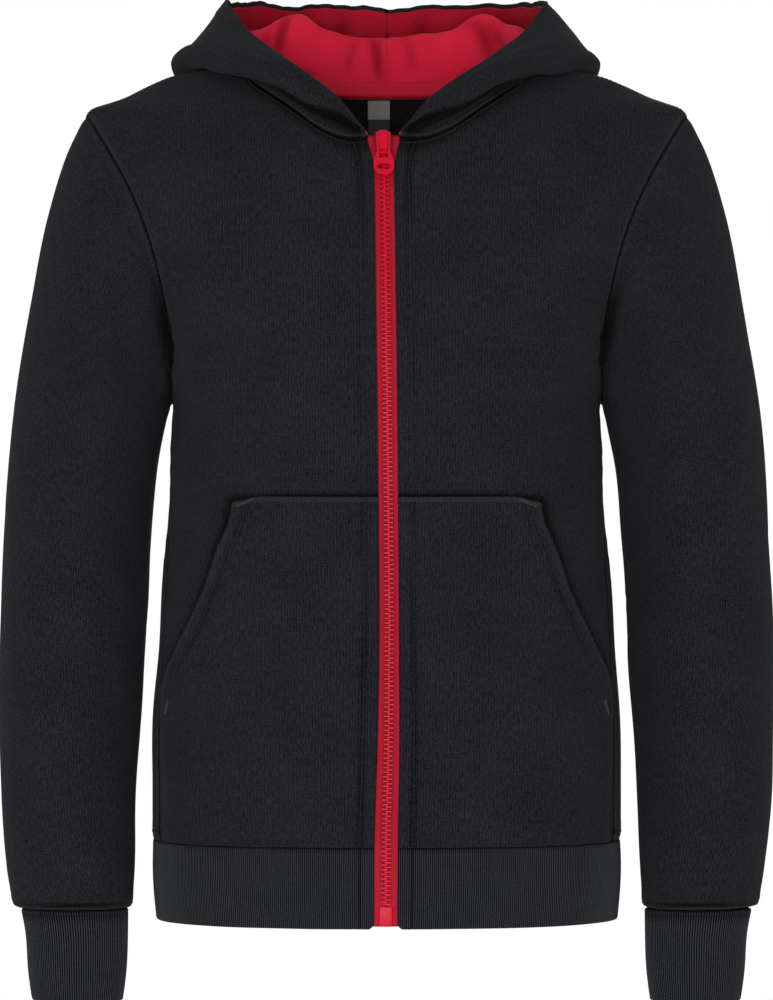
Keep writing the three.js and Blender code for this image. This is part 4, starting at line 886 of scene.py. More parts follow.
def stitch_points(path, out, pitch=3.1, length=2.5, radius=0.27):
    """Stitches along a path: capsules of 4 rings of 5 points and 2 tips, whose ends dip."""
    rise = 0.12
    line = Line(path)
    count = max(1, int(line.length / pitch))
    centre = (np.arange(count) + 0.5) / count
    half = 0.5 * length / line.length
    a, b = line(np.clip(centre - half, 0, 1)), line(np.clip(centre + half, 0, 1))
    n = unit(np.stack([np.interp(centre, line.at / line.length, out[:, k]) for k in range(3)], -1))
    side = unit(np.cross(unit(b - a), n))
    n = np.cross(side, unit(b - a))
    middle = line(centre)
    angle = np.arange(5) * 2 * np.pi / 5
    parts = []
    for t, size, high in ((-0.42, 0.7, 0.0), (-0.2, 1.0, 0.8), (0.2, 1.0, 0.8), (0.42, 0.7, 0.0)):
        place = middle + (b - a) * t + n * (rise * high)
        ring = np.cos(angle)[:, None] * side[:, None] + np.sin(angle)[:, None] * n[:, None]
        parts.append(place[:, None] + ring * radius * size)
    for end in (-0.5, 0.5):
        parts.append((middle + (b - a) * end - n * radius * 0.6)[:, None])
    return np.concatenate(parts, 1)


def stitch_piece(name, runs, look):
    """One piece of many stitches, from runs of path, outward directions and settings."""
    points = np.concatenate([stitch_points(path, out, **settings) for path, out, settings in runs])
    ring = np.arange(5)
    nxt = (ring + 1) % 5
    tips = np.concatenate([
        np.stack([np.full(5, 20), nxt, ring], -1),
        np.stack([np.full(5, 21), 15 + ring, 15 + nxt], -1),
    ])
    offset = (np.arange(len(points)) * 22)[:, None, None]
    polygons = [(tube_quads(5, 3)[None] + offset).reshape(-1, 4), (tips[None] + offset).reshape(-1, 3)]
    return finished(put_mesh(name, points.reshape(-1, 3), polygons), look)


stitch_runs = {}  # path, outward directions and settings of each run, by the name of its piece


def sew(group, path, out, **settings):
    """Keeps a run of stitches for the group's piece."""
    stitch_runs.setdefault(group, []).append((path, out, settings))


def sew_line(group, faces, field, at, axis, part=slice(None), **settings):
    """Sews along the line where a field has a value, or along a part of it. Faces are the grid
    that is sewn and its outward directions."""
    path, out = (line_on(p, field, at, axis)[part] for p in faces)
    sew(group, path, out, **settings)


# ---------------------------------------------------------------- the sleeves' form and the armhole
sleeve_at = all_columns(SLEEVE)


def sleeve_oval(v, turn):
    """Ring v of the sleeve: from its inner to its outer line by cosine, to the front by sine."""
    ox, oz, ix, iz, half, y = np.moveaxis(sleeve_at(v), -1, 0)
    share = (1 + np.cos(turn)) / 2
    return np.stack([ix + (ox - ix) * share, y - half * np.sin(turn), iz + (oz - iz) * share], -1)


def armhole(turn):
    """The armhole's loop: front from the shoulder (0) to the armpit (pi), then up behind."""
    turn = np.mod(turn, 2 * np.pi)[..., None]
    share = turn[..., 0] / np.pi
    return np.where(turn <= np.pi, arm_front(np.minimum(share, 1)), arm_back(np.clip(2 - share, 0, 1)))


def sleeve_form(v, turn):
    """The oval, pulled to the armhole's loop by (1 - v / reach)^2.2 near the armhole."""
    pull = armhole(turn) - sleeve_oval(0 * v, turn)
    keep = np.clip(1 - v / ARMHOLE_REACH, 0, 1) ** 2.2
    return sleeve_oval(v, turn) + pull * keep[..., None]


def armhole_mitre(turn):
    """Directions at the armhole: across from body to sleeve, and inward into the garment, on
    the plane that halves the angle between the two."""
    step = 0.02
    point = armhole(turn)
    along = unit(armhole(turn + step) - armhole(turn - step))
    forward = np.where(turn <= np.pi, 1, -1)[..., None]
    out_body = body_normal(onto_body(point + np.array([0, -1e-3, 0]) * forward))
    v = np.full_like(turn, 0.02)
    enter = sleeve_form(v, turn) - point
    enter = unit(enter - along * (enter * along).sum(-1, keepdims=True))
    leave = unit(np.cross(along, out_body))
    sign = np.where((leave * np.array([1, 0, 0.3])).sum(-1) < 0, -1, 1)[..., None]
    leave = leave * sign
    low = bell(np.mod(turn, 2 * np.pi), np.pi, 0.12)[..., None]
    leave = unit(leave * (1 - low) + np.array([0, 0, 1]) * low)
    across = unit(leave + enter)
    inward = unit(np.cross(along, across))
    sleeve_out = unit(np.cross(along, enter))
    sleeve_out = sleeve_out * np.where((sleeve_out * out_body).sum(-1) < 0, -1, 1)[..., None]
    flip = np.where((inward * (out_body + sleeve_out)).sum(-1) > 0, -1, 1)[..., None]
    return across, inward * flip


# ---------------------------------------------------------------- body panels
def arc_across(x, z, face):
    """Length of the body's section from the middle to x, as chords of 40 steps of its angle."""
    half = body_half(z)
    depth = body_front(z) if face < 0 else body_back(z)
    reach = np.arcsin(np.clip(np.abs(x) / half, 0, 1) ** (SQUARENESS / 2))
    t = np.linspace(0, 1, 41)
    angle = reach[..., None] * t
    px = half[..., None] * np.sin(angle) ** (2 / SQUARENESS)
    py = depth[..., None] * np.cos(angle) ** (2 / SQUARENESS)
    steps = np.hypot(np.diff(px, axis=-1), np.diff(py, axis=-1))
    return np.sign(x) * steps.sum(-1)


_heights = np.linspace(-600, 0, 1201)
_profile = {
    face: np.concatenate([[0], np.cumsum(np.hypot(np.diff(_heights), np.diff(depth(_heights))))])
    for face, depth in ((-1, body_front), (1, body_back))
}


def panel_uv(p, face):
    """Across: the arc from the middle. Along: the arc of the body's profile up to the height."""
    along = np.interp(p[..., 2], _heights, _profile[face])
    return np.stack([arc_across(p[..., 0], p[..., 2], face), along], -1)


def panel_grid(bottom, top, left, right, columns, rows):
    """Points of a panel on the body, closer together near its borders."""
    v_line = stations((left.length + right.length) / 2, rows)
    lengths = bottom.length + (top.length - bottom.length) * v_line
    u = stations(lengths, columns)
    v = np.repeat(v_line[:, None], u.shape[1], 1)
    p = coons(bottom, top, left, right, u, v)
    inner = (u > 0) & (u < 1) & (v > 0) & (v < 1)
    p[..., 2] = np.where(inner, np.minimum(p[..., 2], -0.3), p[..., 2])
    on = onto_body(p)
    return np.where(inner[..., None], on, p)


def arm_fold(d, z, reach=5.5):
    """The deep fold at the lower part of the armhole, by the distance to its seam. It weighs the
    fold's relief and the painted shade in it.
    """
    return bell(d, 0, reach) * bell(z, -180, 32)


def armhole_blend(base, normal, turn_of_row, rows):
    """Inward directions, turned to the armhole's mitre at the last column, and its shift."""
    inward = -normal.copy()
    shift = np.zeros_like(base)
    across, mitre = armhole_mitre(turn_of_row)
    for j in range(-1, -10, -1):
        d = np.linalg.norm(base[rows, j] - base[rows, -1], axis=-1, keepdims=True)
        w = fade(1 - d / MITRE_REACH)
        inward[rows, j] = unit(mitre * w + inward[rows, j] * (1 - w))
        shift[rows, j] = across * LAP * w
    return inward, shift


def mouth_shadow(x, z):
    """Darkness of the front beside and under the pocket's mouth, by the distance to its line."""
    line = through(POCKET_SIDE, 160)
    line = line[line[:, 1] > MOUTH_END - 4]
    gap = np.stack([x, z], -1)[..., None, :] - line
    distance = np.linalg.norm(gap, axis=-1)
    nearest = np.argmin(distance, -1)
    d = np.take_along_axis(distance, nearest[..., None], -1)[..., 0]
    outside = x > line[nearest, 0]
    ends = fade((z - MOUTH_END) / 12) * fade((POCKET_TOP + 2 - z) / 6)
    return 0.85 * np.where(outside, bell(d, 0, 4.2), 1.0) * ends * (x < 160)


def panel_relief(name, base, to_side, to_hem, to_top, near, seeds, slow, waves):
    """Relief of a front or the back: creases and slow unevenness, waves and dips at its seams,
    and the fold at the lower armhole, which it gives too."""
    x, z = base[..., 0], base[..., 2]
    fold = arm_fold(to_side, z)
    relief = crease(x, z, CREASES[name]) * near
    relief += swell(x, z, seeds[0], *slow) * near * fade(to_hem / 10)
    relief += ripple(z, seeds[1], 13, waves[0]) * bell(to_side, 0, 9) * near
    relief += ripple(x, seeds[2], 12, waves[1]) * bell(to_hem, 0, 11) * fade(to_hem / 3)
    relief = relief + seam(to_side, 1.1) + seam(to_hem, 0.9, 2.2) + seam(to_top, 0.9, 2.2) - 1.4 * fold
    relief += ripple(z, seeds[3], 6.5, 0.7) * fold * fade(to_side / 4)
    return relief, fold


def armhole_rows(base):
    """The rows of a panel that end at the armhole, and how far up it each one ends."""
    rows = np.where(base[:, -1, 2] >= side_line.points[-1, 2] - 1e-6)[0]
    return rows, run(base[rows], 0)[0][:, -1]


def front_cloth(side_name, side):
    """One front: relief of seams, facing along the zip, creases and slow unevenness."""
    name, group = "front_" + side_name, "stitches_front_" + side_name
    edge = front_edge_line()
    outer_border = joined(side_line, turned(arm_front))
    bottom = hem_line(angle_of(edge.points[0]), angle_of(side_line.points[0]), HEM_SEAM)
    base = panel_grid(bottom, joined(neck_front, shoulder), edge, outer_border, 52, 120)
    normal = body_normal(onto_body(base))
    to_edge, to_outer = run(base, 1)
    to_hem, to_top = run(base, 0)
    x, z = base[..., 0], base[..., 2]
    seed = 11 if side > 0 else 12
    near = fade(np.minimum(to_outer, to_top) / 7) * fade(to_edge / 12)
    seeds = (seed, seed + 3, seed + 5, seed + 9)
    relief, fold = panel_relief(
        name, base, to_outer, to_hem, to_top, near, seeds, (95, 0.5), (0.22, 0.25))
    relief = relief + 0.45 * (1 - fade((to_edge - 8.4) / 1.4)) - 0.35 * bell(to_edge, EDGE_STITCH, 0.8)
    relief += ripple(z, seed + 7, 10, 0.12) * bell(to_edge, 9, 6)
    # Painted shade in the seam valleys with a painted highlight on the ridge beside each, painted shade
    # in the armhole's fold with less highlight there, painted shade along the hem and facing stitch
    # lines, a painted shadow under the hood's front near the neck, and the painted shadow beside the
    # pocket's mouth.
    armhole_shading = seam_shading(to_outer, light=0.5 - 0.25 * arm_fold(0, z))
    painted_shading = armhole_shading + seam_shading(to_hem) + seam_shading(to_top)
    painted_shading += 0.85 * fold
    painted_shading = painted_shading + 0.5 * bell(to_hem, HEM_STITCH, 0.9) + 0.4 * bell(to_edge, EDGE_STITCH, 0.9)
    painted_shading = painted_shading + 0.75 * bell(to_top, 0, 7) * fade((100 - x) / 12) + mouth_shadow(x, z)
    rows, way = armhole_rows(base)
    share = 1 - (way / arm_front.length)
    inward, shift = armhole_blend(base, normal, np.clip(share, 0, 1) * np.pi, rows)
    surface = base - inward * relief[..., None] + shift
    surface[..., 1] += LAP * fade(1 - to_outer / 4)
    surface[..., 2] -= LAP * fade(1 - to_hem / 4)
    outer, _ = cloth_sheet(
        name, surface, inward, least(to_edge, to_outer, to_hem, to_top), FLEECE,
        panel_uv(base, -1) * np.array([side, 1]), fleece, side, painted_shading=painted_shading)
    faces = outer, mirrored(-inward, side)
    sew_line(group, faces, to_edge, EDGE_STITCH, 1, slice(3, -3), pitch=3.0)
    sew_line(group, faces, to_top, TOP_STITCH, 0, slice(4, -5))
    sew_line(group, faces, to_hem, HEM_STITCH, 0, slice(4, -4))
    for d in ARMHOLE_STITCHES:
        sew_line(group, faces, to_outer, d, 1, rows[5:-4])


def back_cloth():
    """The back, with its own creases, between both side seams and armholes."""
    half_top = joined(turned(neck_back), shoulder)
    whole_top = joined(Line(mirrored(half_top.points, -1)[::-1]), half_top)
    right_border = joined(side_line, turned(arm_back))
    left_border = Line(mirrored(right_border.points, -1))
    corner = angle_of(side_line.points[0])
    bottom = hem_line(2 * math.pi - corner, corner, HEM_SEAM)
    base = panel_grid(bottom, whole_top, left_border, right_border, 104, 120)
    normal = body_normal(onto_body(base))
    to_left, to_right = run(base, 1)
    to_hem, to_top = run(base, 0)
    to_side = np.minimum(to_left, to_right)
    near = fade(np.minimum(to_side, to_top) / 7)
    relief, fold = panel_relief(
        "back", base, to_side, to_hem, to_top, near, (21, 24, 26, 28), (105, 0.6), (0.25, 0.28))
    # Painted shade in the seam valleys, in the armhole's fold and along the hem's stitch line, with
    # painted highlights on the seams' ridges.
    painted_shading = seam_shading(to_side) + seam_shading(to_hem) + seam_shading(to_top) + 0.7 * fold
    painted_shading += 0.5 * bell(to_hem, HEM_STITCH, 0.9)
    rows, way = armhole_rows(base)
    turn = np.pi * (1 + np.clip(way / arm_back.length, 0, 1))
    inward, shift = armhole_blend(base, normal, turn, rows)
    flipped, flipped_normal = (mirrored(p[:, ::-1], -1) for p in (base, normal))
    other_inward, other_shift = armhole_blend(flipped, flipped_normal, turn, rows)
    left = (to_left < to_right)[..., None]
    inward = np.where(left, mirrored(other_inward[:, ::-1], -1), inward)
    shift = np.where(left, mirrored(other_shift[:, ::-1], -1), shift)
    surface = base - inward * relief[..., None] + shift
    surface[..., 1] -= LAP * fade(1 - to_side / 4)
    surface[..., 2] -= LAP * fade(1 - to_hem / 4)
    outer, _ = cloth_sheet(
        "back", surface, inward, least(to_side, to_hem, to_top), FLEECE, panel_uv(base, 1),
        fleece, painted_shading=painted_shading)
    faces = outer, -inward
    sew_line("stitches_back", faces, to_hem, HEM_STITCH, 0, slice(4, -4))
    sew_line("stitches_back", faces, to_top, TOP_STITCH, 0, slice(6, -6))
    for d in ARMHOLE_STITCHES:
        for field in (to_left, to_right):
            sew_line("stitches_back", faces, field, d, 1, rows[5:-4])


# ---------------------------------------------------------------- sleeves and cuffs
def sleeve_cloth(side_name, side):
    """One sleeve: ovals from the armhole to the cuff, with creases and gathers."""
    middle = Line(sleeve_form(np.linspace(0, 1, 300), np.full(300, np.pi / 2)))
    share = stations(middle.length, 128)
    v_rows = np.interp(share * middle.length, middle.at, np.linspace(0, 1, 300))
    columns = 104
    turn_line = np.pi + 2 * np.pi * np.arange(columns) / columns
    v = np.repeat(v_rows[:, None], columns, 1)
    turn = np.repeat(turn_line[None], len(v_rows), 0)
    base = sleeve_form(v, turn)
    normal = grid_normals(base, True)
    centre = base.mean(1, keepdims=True)
    normal = normal * np.where(((base - centre) * normal).sum(-1).mean() < 0, -1, 1)
    to_arm, to_cuff = run(base, 0)
    round_share = np.mod(turn / (2 * np.pi), 1)
    around_mm = round_share * 300
    seed = 31 if side > 0 else 32
    off_arm = fade(to_arm / 7)
    relief = crease(round_share, v, SLEEVE_CREASES[side_name]) * off_arm
    relief += swell(around_mm * np.sin(turn) * 0.3, v * 500, seed, 110, 0.5) * off_arm
    gather = sum(np.cos(turn * k + a) for k, a in ((9, 0.4), (14, 2.0), (19, 4.1))) / 3
    relief += 0.55 * gather * bell(to_cuff, 0, 16) * fade(to_cuff / 4)
    pucker = sum(np.cos(turn * k + a + seed) for k, a in ((17, 0.9), (26, 2.4), (37, 0.1))) / 3
    relief += 0.3 * pucker * bell(to_arm, 0, 8) * fade(to_arm / 2)
    relief = relief + seam(to_arm, 1.1) + seam(to_cuff, 1.0, 2.4) - 1.4 * arm_fold(to_arm, base[..., 2])
    # Painted shade in the armhole and cuff seam valleys, wide in the armhole's fold, and along the cuff
    # stitch line; painted highlights on the seams' ridges, fading at the fold.
    painted_shading = seam_shading(to_arm, light=0.5 - 0.6 * arm_fold(0, base[..., 2])) + seam_shading(to_cuff)
    painted_shading = painted_shading + 1.3 * arm_fold(to_arm, base[..., 2], 9) + 0.9 * bell(to_cuff, 4.6, 0.9)
    across, mitre = armhole_mitre(turn_line)
    w = fade(1 - to_arm / MITRE_REACH)[..., None]
    inward = unit(mitre[None] * w - normal * (1 - w))
    surface = base - inward * relief[..., None] - across[None] * LAP * w
    surface[..., 2] -= LAP * fade(1 - to_cuff / 4)
    closed = np.concatenate([base, base[:, :1]], 1)
    there, back = run(closed, 1)
    across_mm = (there - back) / 2
    along_mm = np.repeat(share[:, None] * middle.length, columns + 1, 1)
    uv = np.stack([across_mm * side, -along_mm], -1)
    outer, _ = cloth_sheet(
        "sleeve_" + side_name, surface, inward, np.minimum(to_arm, to_cuff), FLEECE, uv,
        fleece, side, True, painted_shading)
    ring = np.concatenate([np.arange(columns), [0]])
    faces = outer, mirrored(-inward, side)
    sew_line("stitches_sleeve_" + side_name, faces, to_cuff, CUFF_STITCH, 0, ring)


def cuff_cloth(side_name, side):
    """A cuff: an oval tube of raised ribs that narrows to the wrist."""
    ribs = 128
    columns = ribs * 4
    cuff_at = all_columns(CUFF)
    top, foot = CUFF_SEAM + LAP, CUFF_END
    z_rows = foot + (top - foot) * stations(top - foot, 8, np.array([0, 0.3, 0.8, 1.5, 3.0]))
    ox, ix, half, y = np.moveaxis(cuff_at(z_rows), -1, 0)
    turn = 2 * np.pi * np.arange(columns) / columns
    z = np.repeat(z_rows[:, None], columns, 1)
    middle, wide = (ox + ix) / 2, (ox - ix) / 2
    base = np.stack([
        middle[:, None] + wide[:, None] * np.cos(turn), y[:, None] - half[:, None] * np.sin(turn), z,
    ], -1)
    normal = unit(np.stack([np.cos(turn) / wide[:, None], -np.sin(turn) / half[:, None], 0 * z], -1))
    to_foot, to_top = z - foot, top - z
    seed = 41 if side > 0 else 42
    body = fade(to_top / 3) * fade(to_foot / 3)
    slow = sum(np.cos(turn * k + a + seed) for k, a in ((3, 0.4), (5, 2.0), (8, 1.1))) / 3
    relief = 0.32 * np.cos(turn * ribs)[None] * fade(to_top / 1.6) + 0.5 * slow[None] * body
    relief = relief + 0.7 * np.sin(np.pi * to_foot / (top - foot)) - 0.5
    surface = base + normal * relief[..., None]
    uv = np.stack([
        np.repeat((np.arange(columns + 1) / columns * ribs * RIB_PITCH)[None], len(z_rows), 0),
        np.repeat(z_rows[:, None], columns + 1, 1),
    ], -1)
    # Painted shade in the seam's valley at the top and in a line just below it.
    painted_shading = 0.8 * bell(to_top, 0, 1.0) + 0.35 * bell(to_top, 3.2, 0.7)
    cloth_sheet(
        "cuff_" + side_name, surface, -normal, np.minimum(to_foot, to_top), RIB_CLOTH, uv,
        ribbing, side, True, painted_shading)


def waistband_cloth():
    """The waistband: a strip of raised ribs from one front edge round the back to the other."""
    ribs = 590
    columns = ribs * 4
    start = angle_of(front_edge_line().points[0])
    ring = hem_line(start, 2 * math.pi - start, HEM_SEAM)
    angles = np.linspace(start, 2 * math.pi - start, 900)
    share = np.linspace(0, 1, columns + 1)
    angle = np.interp(share * ring.length, ring.at, angles)
    top = HEM_SEAM + LAP
    z_rows = HEM + (top - HEM) * stations(top - HEM, 7, np.array([0, 0.3, 0.8, 1.6, 3.2]))
    z = np.repeat(z_rows[:, None], columns + 1, 1)
    a = np.repeat(angle[None], len(z_rows), 0)
    depth = np.where(np.cos(a) > 0, body_front(z), body_back(z))
    base = onto_body(np.stack([np.sin(a) * body_half(z), -np.cos(a) * depth, z], -1))
    normal = body_normal(base)
    normal[..., 2] = 0
    normal = unit(normal)
    to_foot, to_top = z - HEM, top - z
    mm = share * ring.length
    to_start = np.repeat(mm[None], len(z_rows), 0)
    to_end = ring.length - to_start
    facing = np.minimum(to_start, to_end)
    base[..., 2] += 3.2 * np.clip(1 - facing / 4, 0, 1) ** 2 * fade(1 - to_foot / 16)
    ends = fade(facing / 12)
    relief = 0.34 * np.cos(share * ribs * 2 * np.pi)[None] * fade(to_top / 1.6)
    slow = swell(to_start, z * 0.4, 51, 70, 0.7) * fade(to_top / 8) * ends
    relief = relief + slow + 1.1 * np.sin(np.pi * to_foot / (top - HEM)) * ends - 0.4
    relief = relief + 0.3 * (1 - fade((facing - 8.4) / 1.4)) - 0.4 * bell(facing, EDGE_STITCH, 0.8)
    relief -= BAND_INSET
    surface = base + normal * relief[..., None]
    # Painted shade in the seam's valley at the top and along the facing stitch lines.
    painted_shading = 0.8 * bell(to_top, 0, 1.0) + 0.5 * bell(facing, EDGE_STITCH, 0.9)
    uv = np.stack([to_start / ring.length * ribs * RIB_PITCH, z], -1)
    rim = least(to_foot, to_top, facing)
    outer, _ = cloth_sheet(
        "waistband", surface, -normal, rim, RIB_CLOTH, uv, ribbing, painted_shading=painted_shading)
    for field in (to_start, to_end):
        sew_line("stitches_waistband", (outer, normal), field, EDGE_STITCH, 1, slice(2, -2), pitch=3.0)


# ---------------------------------------------------------------- hood
def hood_line(table):
    """A line of the hood, going on past the middle of the back as its own mirror image."""
    rows = np.array(table, float)
    beyond = rows[-3:-1][::-1] * np.array([-1, -1, 1, 1]) + np.array([2, 0, 0, 0])
    return all_columns(np.concatenate([rows, beyond]))


def hood_base(s):
    """The neckline, one gap up along the body's surface from the panels' edges."""
    low = neck_front(np.clip(s / 0.5, 0, 1))
    high = neck_back(np.clip((s - 0.5) / 0.5, 0, 1))
    p = np.where((s <= 0.5)[:, None], low, high)
    along = unit(np.gradient(p, axis=0))
    up = unit(np.cross(body_normal(onto_body(p)), along))
    up = up * np.where(up[:, 2:] < 0, -1, 1)
    return p + up * GAP


HOOD_CREASES = {
    # s, t, s, t, half width, height in mm, bow; t runs from the neck seam to the rim
    "left": [
        (0.42, 0.02, 0.5, 0.12, 0.03, -1.6, 0), (0.62, 0.03, 0.7, 0.22, 0.035, -2.4, 0.01),
        (0.8, 0.02, 0.78, 0.2, 0.03, 2.2, 0), (0.9, 0.04, 0.93, 0.3, 0.03, -2.2, 0.01),
        (0.2, 0.3, 0.42, 0.5, 0.06, 1.4, 0), (0.66, 0.62, 0.8, 0.86, 0.05, -2.2, 0.02),
        (0.9, 0.6, 0.98, 0.9, 0.05, 1.8, 0), (0.5, 0.66, 0.6, 0.92, 0.05, -1.8, 0.01),
    ],
    "right": [
        (0.44, 0.02, 0.52, 0.14, 0.03, -1.8, 0), (0.6, 0.03, 0.67, 0.2, 0.03, -2.0, 0.01),
        (0.76, 0.02, 0.8, 0.22, 0.035, 2.0, 0), (0.88, 0.03, 0.86, 0.28, 0.03, -2.4, 0),
        (0.22, 0.28, 0.4, 0.5, 0.06, 1.2, 0), (0.62, 0.6, 0.74, 0.88, 0.05, -2.0, -0.02),
        (0.86, 0.62, 0.92, 0.9, 0.05, -1.6, 0), (0.48, 0.7, 0.56, 0.94, 0.045, -1.7, 0),
    ],
}
# Wrinkles that are seen on the lining, in the same terms; above zero is a trough on its face.
LINING_CREASES = {
    "left": [
        (0.85, 0.115, 0.71, 0.035, 0.016, 2.4, 0), (0.93, 0.84, 0.945, 0.99, 0.012, 1.6, 0),
        (0.85, 0.86, 0.83, 0.98, 0.014, 1.3, 0), (0.76, 0.09, 0.66, 0.05, 0.014, 1.8, 0.004),
        (0.88, 0.12, 0.84, 0.04, 0.012, -1.2, 0), (0.96, 0.1, 0.93, 0.03, 0.01, 1.1, 0),
        (0.72, 0.84, 0.78, 0.97, 0.014, 1.4, 0), (0.975, 0.88, 0.9, 0.92, 0.012, 1.5, 0.004),
    ],
    "right": [
        (0.79, 0.115, 0.7, 0.045, 0.016, 2.4, 0), (0.968, 0.1, 0.985, 0.015, 0.012, 2.4, 0),
        (0.9, 0.85, 0.93, 0.99, 0.012, 1.5, 0), (0.8, 0.88, 0.82, 0.99, 0.013, 1.2, 0),
        (0.83, 0.12, 0.76, 0.05, 0.012, -1.3, 0.003), (0.93, 0.09, 0.9, 0.03, 0.01, 1.0, 0),
        (0.86, 0.9, 0.96, 0.87, 0.012, 1.6, -0.004), (0.7, 0.08, 0.62, 0.06, 0.012, 1.2, 0),
    ],
}
# Where the hood's front hangs over its seam: share s from the zip, and place t above the seam.
OVERHANG = [(0, 0.62), (0.03, 0.6), (0.15, 0.46), (0.3, 0.2), (0.4, 0.07), (0.47, 0.02), (1, 0.0)]


def hood_grids():
    """The hood's outer face: seven lines crossed by a cubic from the neck seam to the rim."""
    fine = np.linspace(0, 1, 500)
    middle = Line(hood_line(HOOD_LINES[0.77])(fine))
    share = stations(middle.length, 74)
    s = np.interp(share * middle.length, middle.at, fine)
    knots = [0.0] + list(HOOD_LINES)
    lines = np.stack([hood_base(s)] + [hood_line(table)(s) for table in HOOD_LINES.values()])
    across = curve(knots, lines, tight=False)
    t = stations(300.0, 84)
    grid = across(t)
    normal = grid_normals(grid)
    for _ in range(10):
        padded = np.pad(normal, ((1, 1), (1, 1), (0, 0)), mode="edge")
        padded[:, -1] = padded[:, -3] * np.array([-1, 1, 1])
        near = padded[2:, 1:-1] + padded[:-2, 1:-1] + padded[1:-1, 2:] + padded[1:-1, :-2]
        normal = unit(normal * 2 + near)
    normal[:, -1, 0] = 0
    normal = unit(normal)
    s2 = np.repeat(s[None], len(t), 0)
    t2 = np.repeat(t[:, None], len(s), 1)
    return grid, normal, s2, t2


def hood_cloth(side_name, side):
    """One half of the hood and of its lining, from the same grid at different depths."""
    grid, normal, s, t = hood_grids()
    to_neck, to_rim = run(grid, 0)
    to_zip, to_back = run(grid, 1)
    inside = fade(to_zip / 14) * fade(to_back / 6) * fade(to_neck / 8) * fade(to_rim / 3)
    seed = 61 if side > 0 else 62
    wrinkles = crease(s, t, LINING_CREASES[side_name])
    relief = (crease(s, t, HOOD_CREASES[side_name]) + wrinkles) * inside
    relief += swell(s * 260, t * 260, seed, 70, 0.8) * inside
    over = (t - column(OVERHANG)(s)) * (to_neck + to_rim)
    front_part = fade((0.5 - s) / 0.1) * fade(to_zip / 6)
    relief -= 1.2 * bell(over, 0, 2.4) * front_part * inside
    shade = bell(over, 0, np.where(over < 0, 8.0, 1.5)) * front_part
    grid = grid + normal * relief[..., None]
    from_middle = (1 - s) * side * 260
    rim_wave = ripple(from_middle, 68, 38, 1.2) + ripple(from_middle, 66, 13, 0.4)
    grid[..., 2] += rim_wave * fade(1 - to_rim / 32) * fade((s - 0.3) / 0.3)
    rim = least(to_neck, to_rim, to_zip, to_back)
    uv = np.stack([to_zip * side, to_neck], -1)

    def layer(name, top, depth, thickness, mark, look, slot, painted_shading):
        """A cloth at a depth under the grid, with the relief of its own seams."""
        surface = top - normal * (depth - mark[..., None])
        surface[..., 0] -= LAP * fade(1 - to_back / 4)
        return cloth_sheet(
            f"{name}_{side_name}", surface, -normal, rim, thickness, uv, look, side, painted_shading=painted_shading)

    mark = seam(to_back, 0.7, 2.0) + seam(to_neck, 0.6, 2.0)
    # Painted shade in the seam valleys with painted highlights on their ridges, and a painted shadow
    # under the hood's front where it hangs over its seam.
    painted_shading = seam_shading(to_back) + seam_shading(to_neck) + 0.95 * shade
    layer("hood", grid, 0.0, HOOD_CLOTH, mark, fleece, "fleece", painted_shading)

    drawn = RIM_BORDER * np.exp(-to_rim / 6)
    tucked = np.minimum(3.0, 0.2 * (to_neck + to_rim)) * np.exp(-to_neck / 5)
    top = grid + unit(-np.gradient(grid, axis=0)) * (drawn - tucked)[..., None]
    mark = -seam(to_back, 0.7, 2.0) + 0.5 * bell(to_rim, LINING_STITCH, 1.2)
    mark = mark - ripple(s * 260, seed + 4, 12, 0.35) * bell(to_rim, 17, 9)
    # A painted highlight beside the neck seam, nearly at the middle of the back.
    hump_highlight = np.exp(-(((s - 0.81) / 0.05) ** 2) - (((t - 0.09) / 0.045) ** 2))
    # Painted shade in the lining's wrinkles, on its far wall towards the rim, near the neck seam and in
    # the middle seam's valley, less the painted highlight; also a darker line 9.5 mm above the neck seam.
    painted_shading = 0.24 * wrinkles + 0.44 * fade((t - 0.5) / 0.3) + 0.12 * bell(to_neck, 0, 26) - 0.3 * hump_highlight
    painted_shading = painted_shading + 0.1 * bell(to_back, 0, 0.9) + 0.4 * bell(to_neck, 9.5, 0.9)
    depth = HOOD_CLOTH + LINING_AIR
    _, inner = layer("hood_lining", top, depth, LINING_CLOTH, mark, lining, "lining", painted_shading)
    wide = np.where(to_rim[0] > LINING_STITCH + 2)[0][:-4]
    faces = inner, mirrored(-normal, side)
    sew_line(f"stitches_hood_lining_{side_name}", faces, to_rim, LINING_STITCH, 0, wide)


# ---------------------------------------------------------------- pocket
def level_line(a, b):
    """A line on the front from one point to another, straight as seen from the front."""
    t = np.linspace(0, 1, 200)[:, None]
    x, _, z = (a * (1 - t) + b * t).T
    return face_line(x, z)


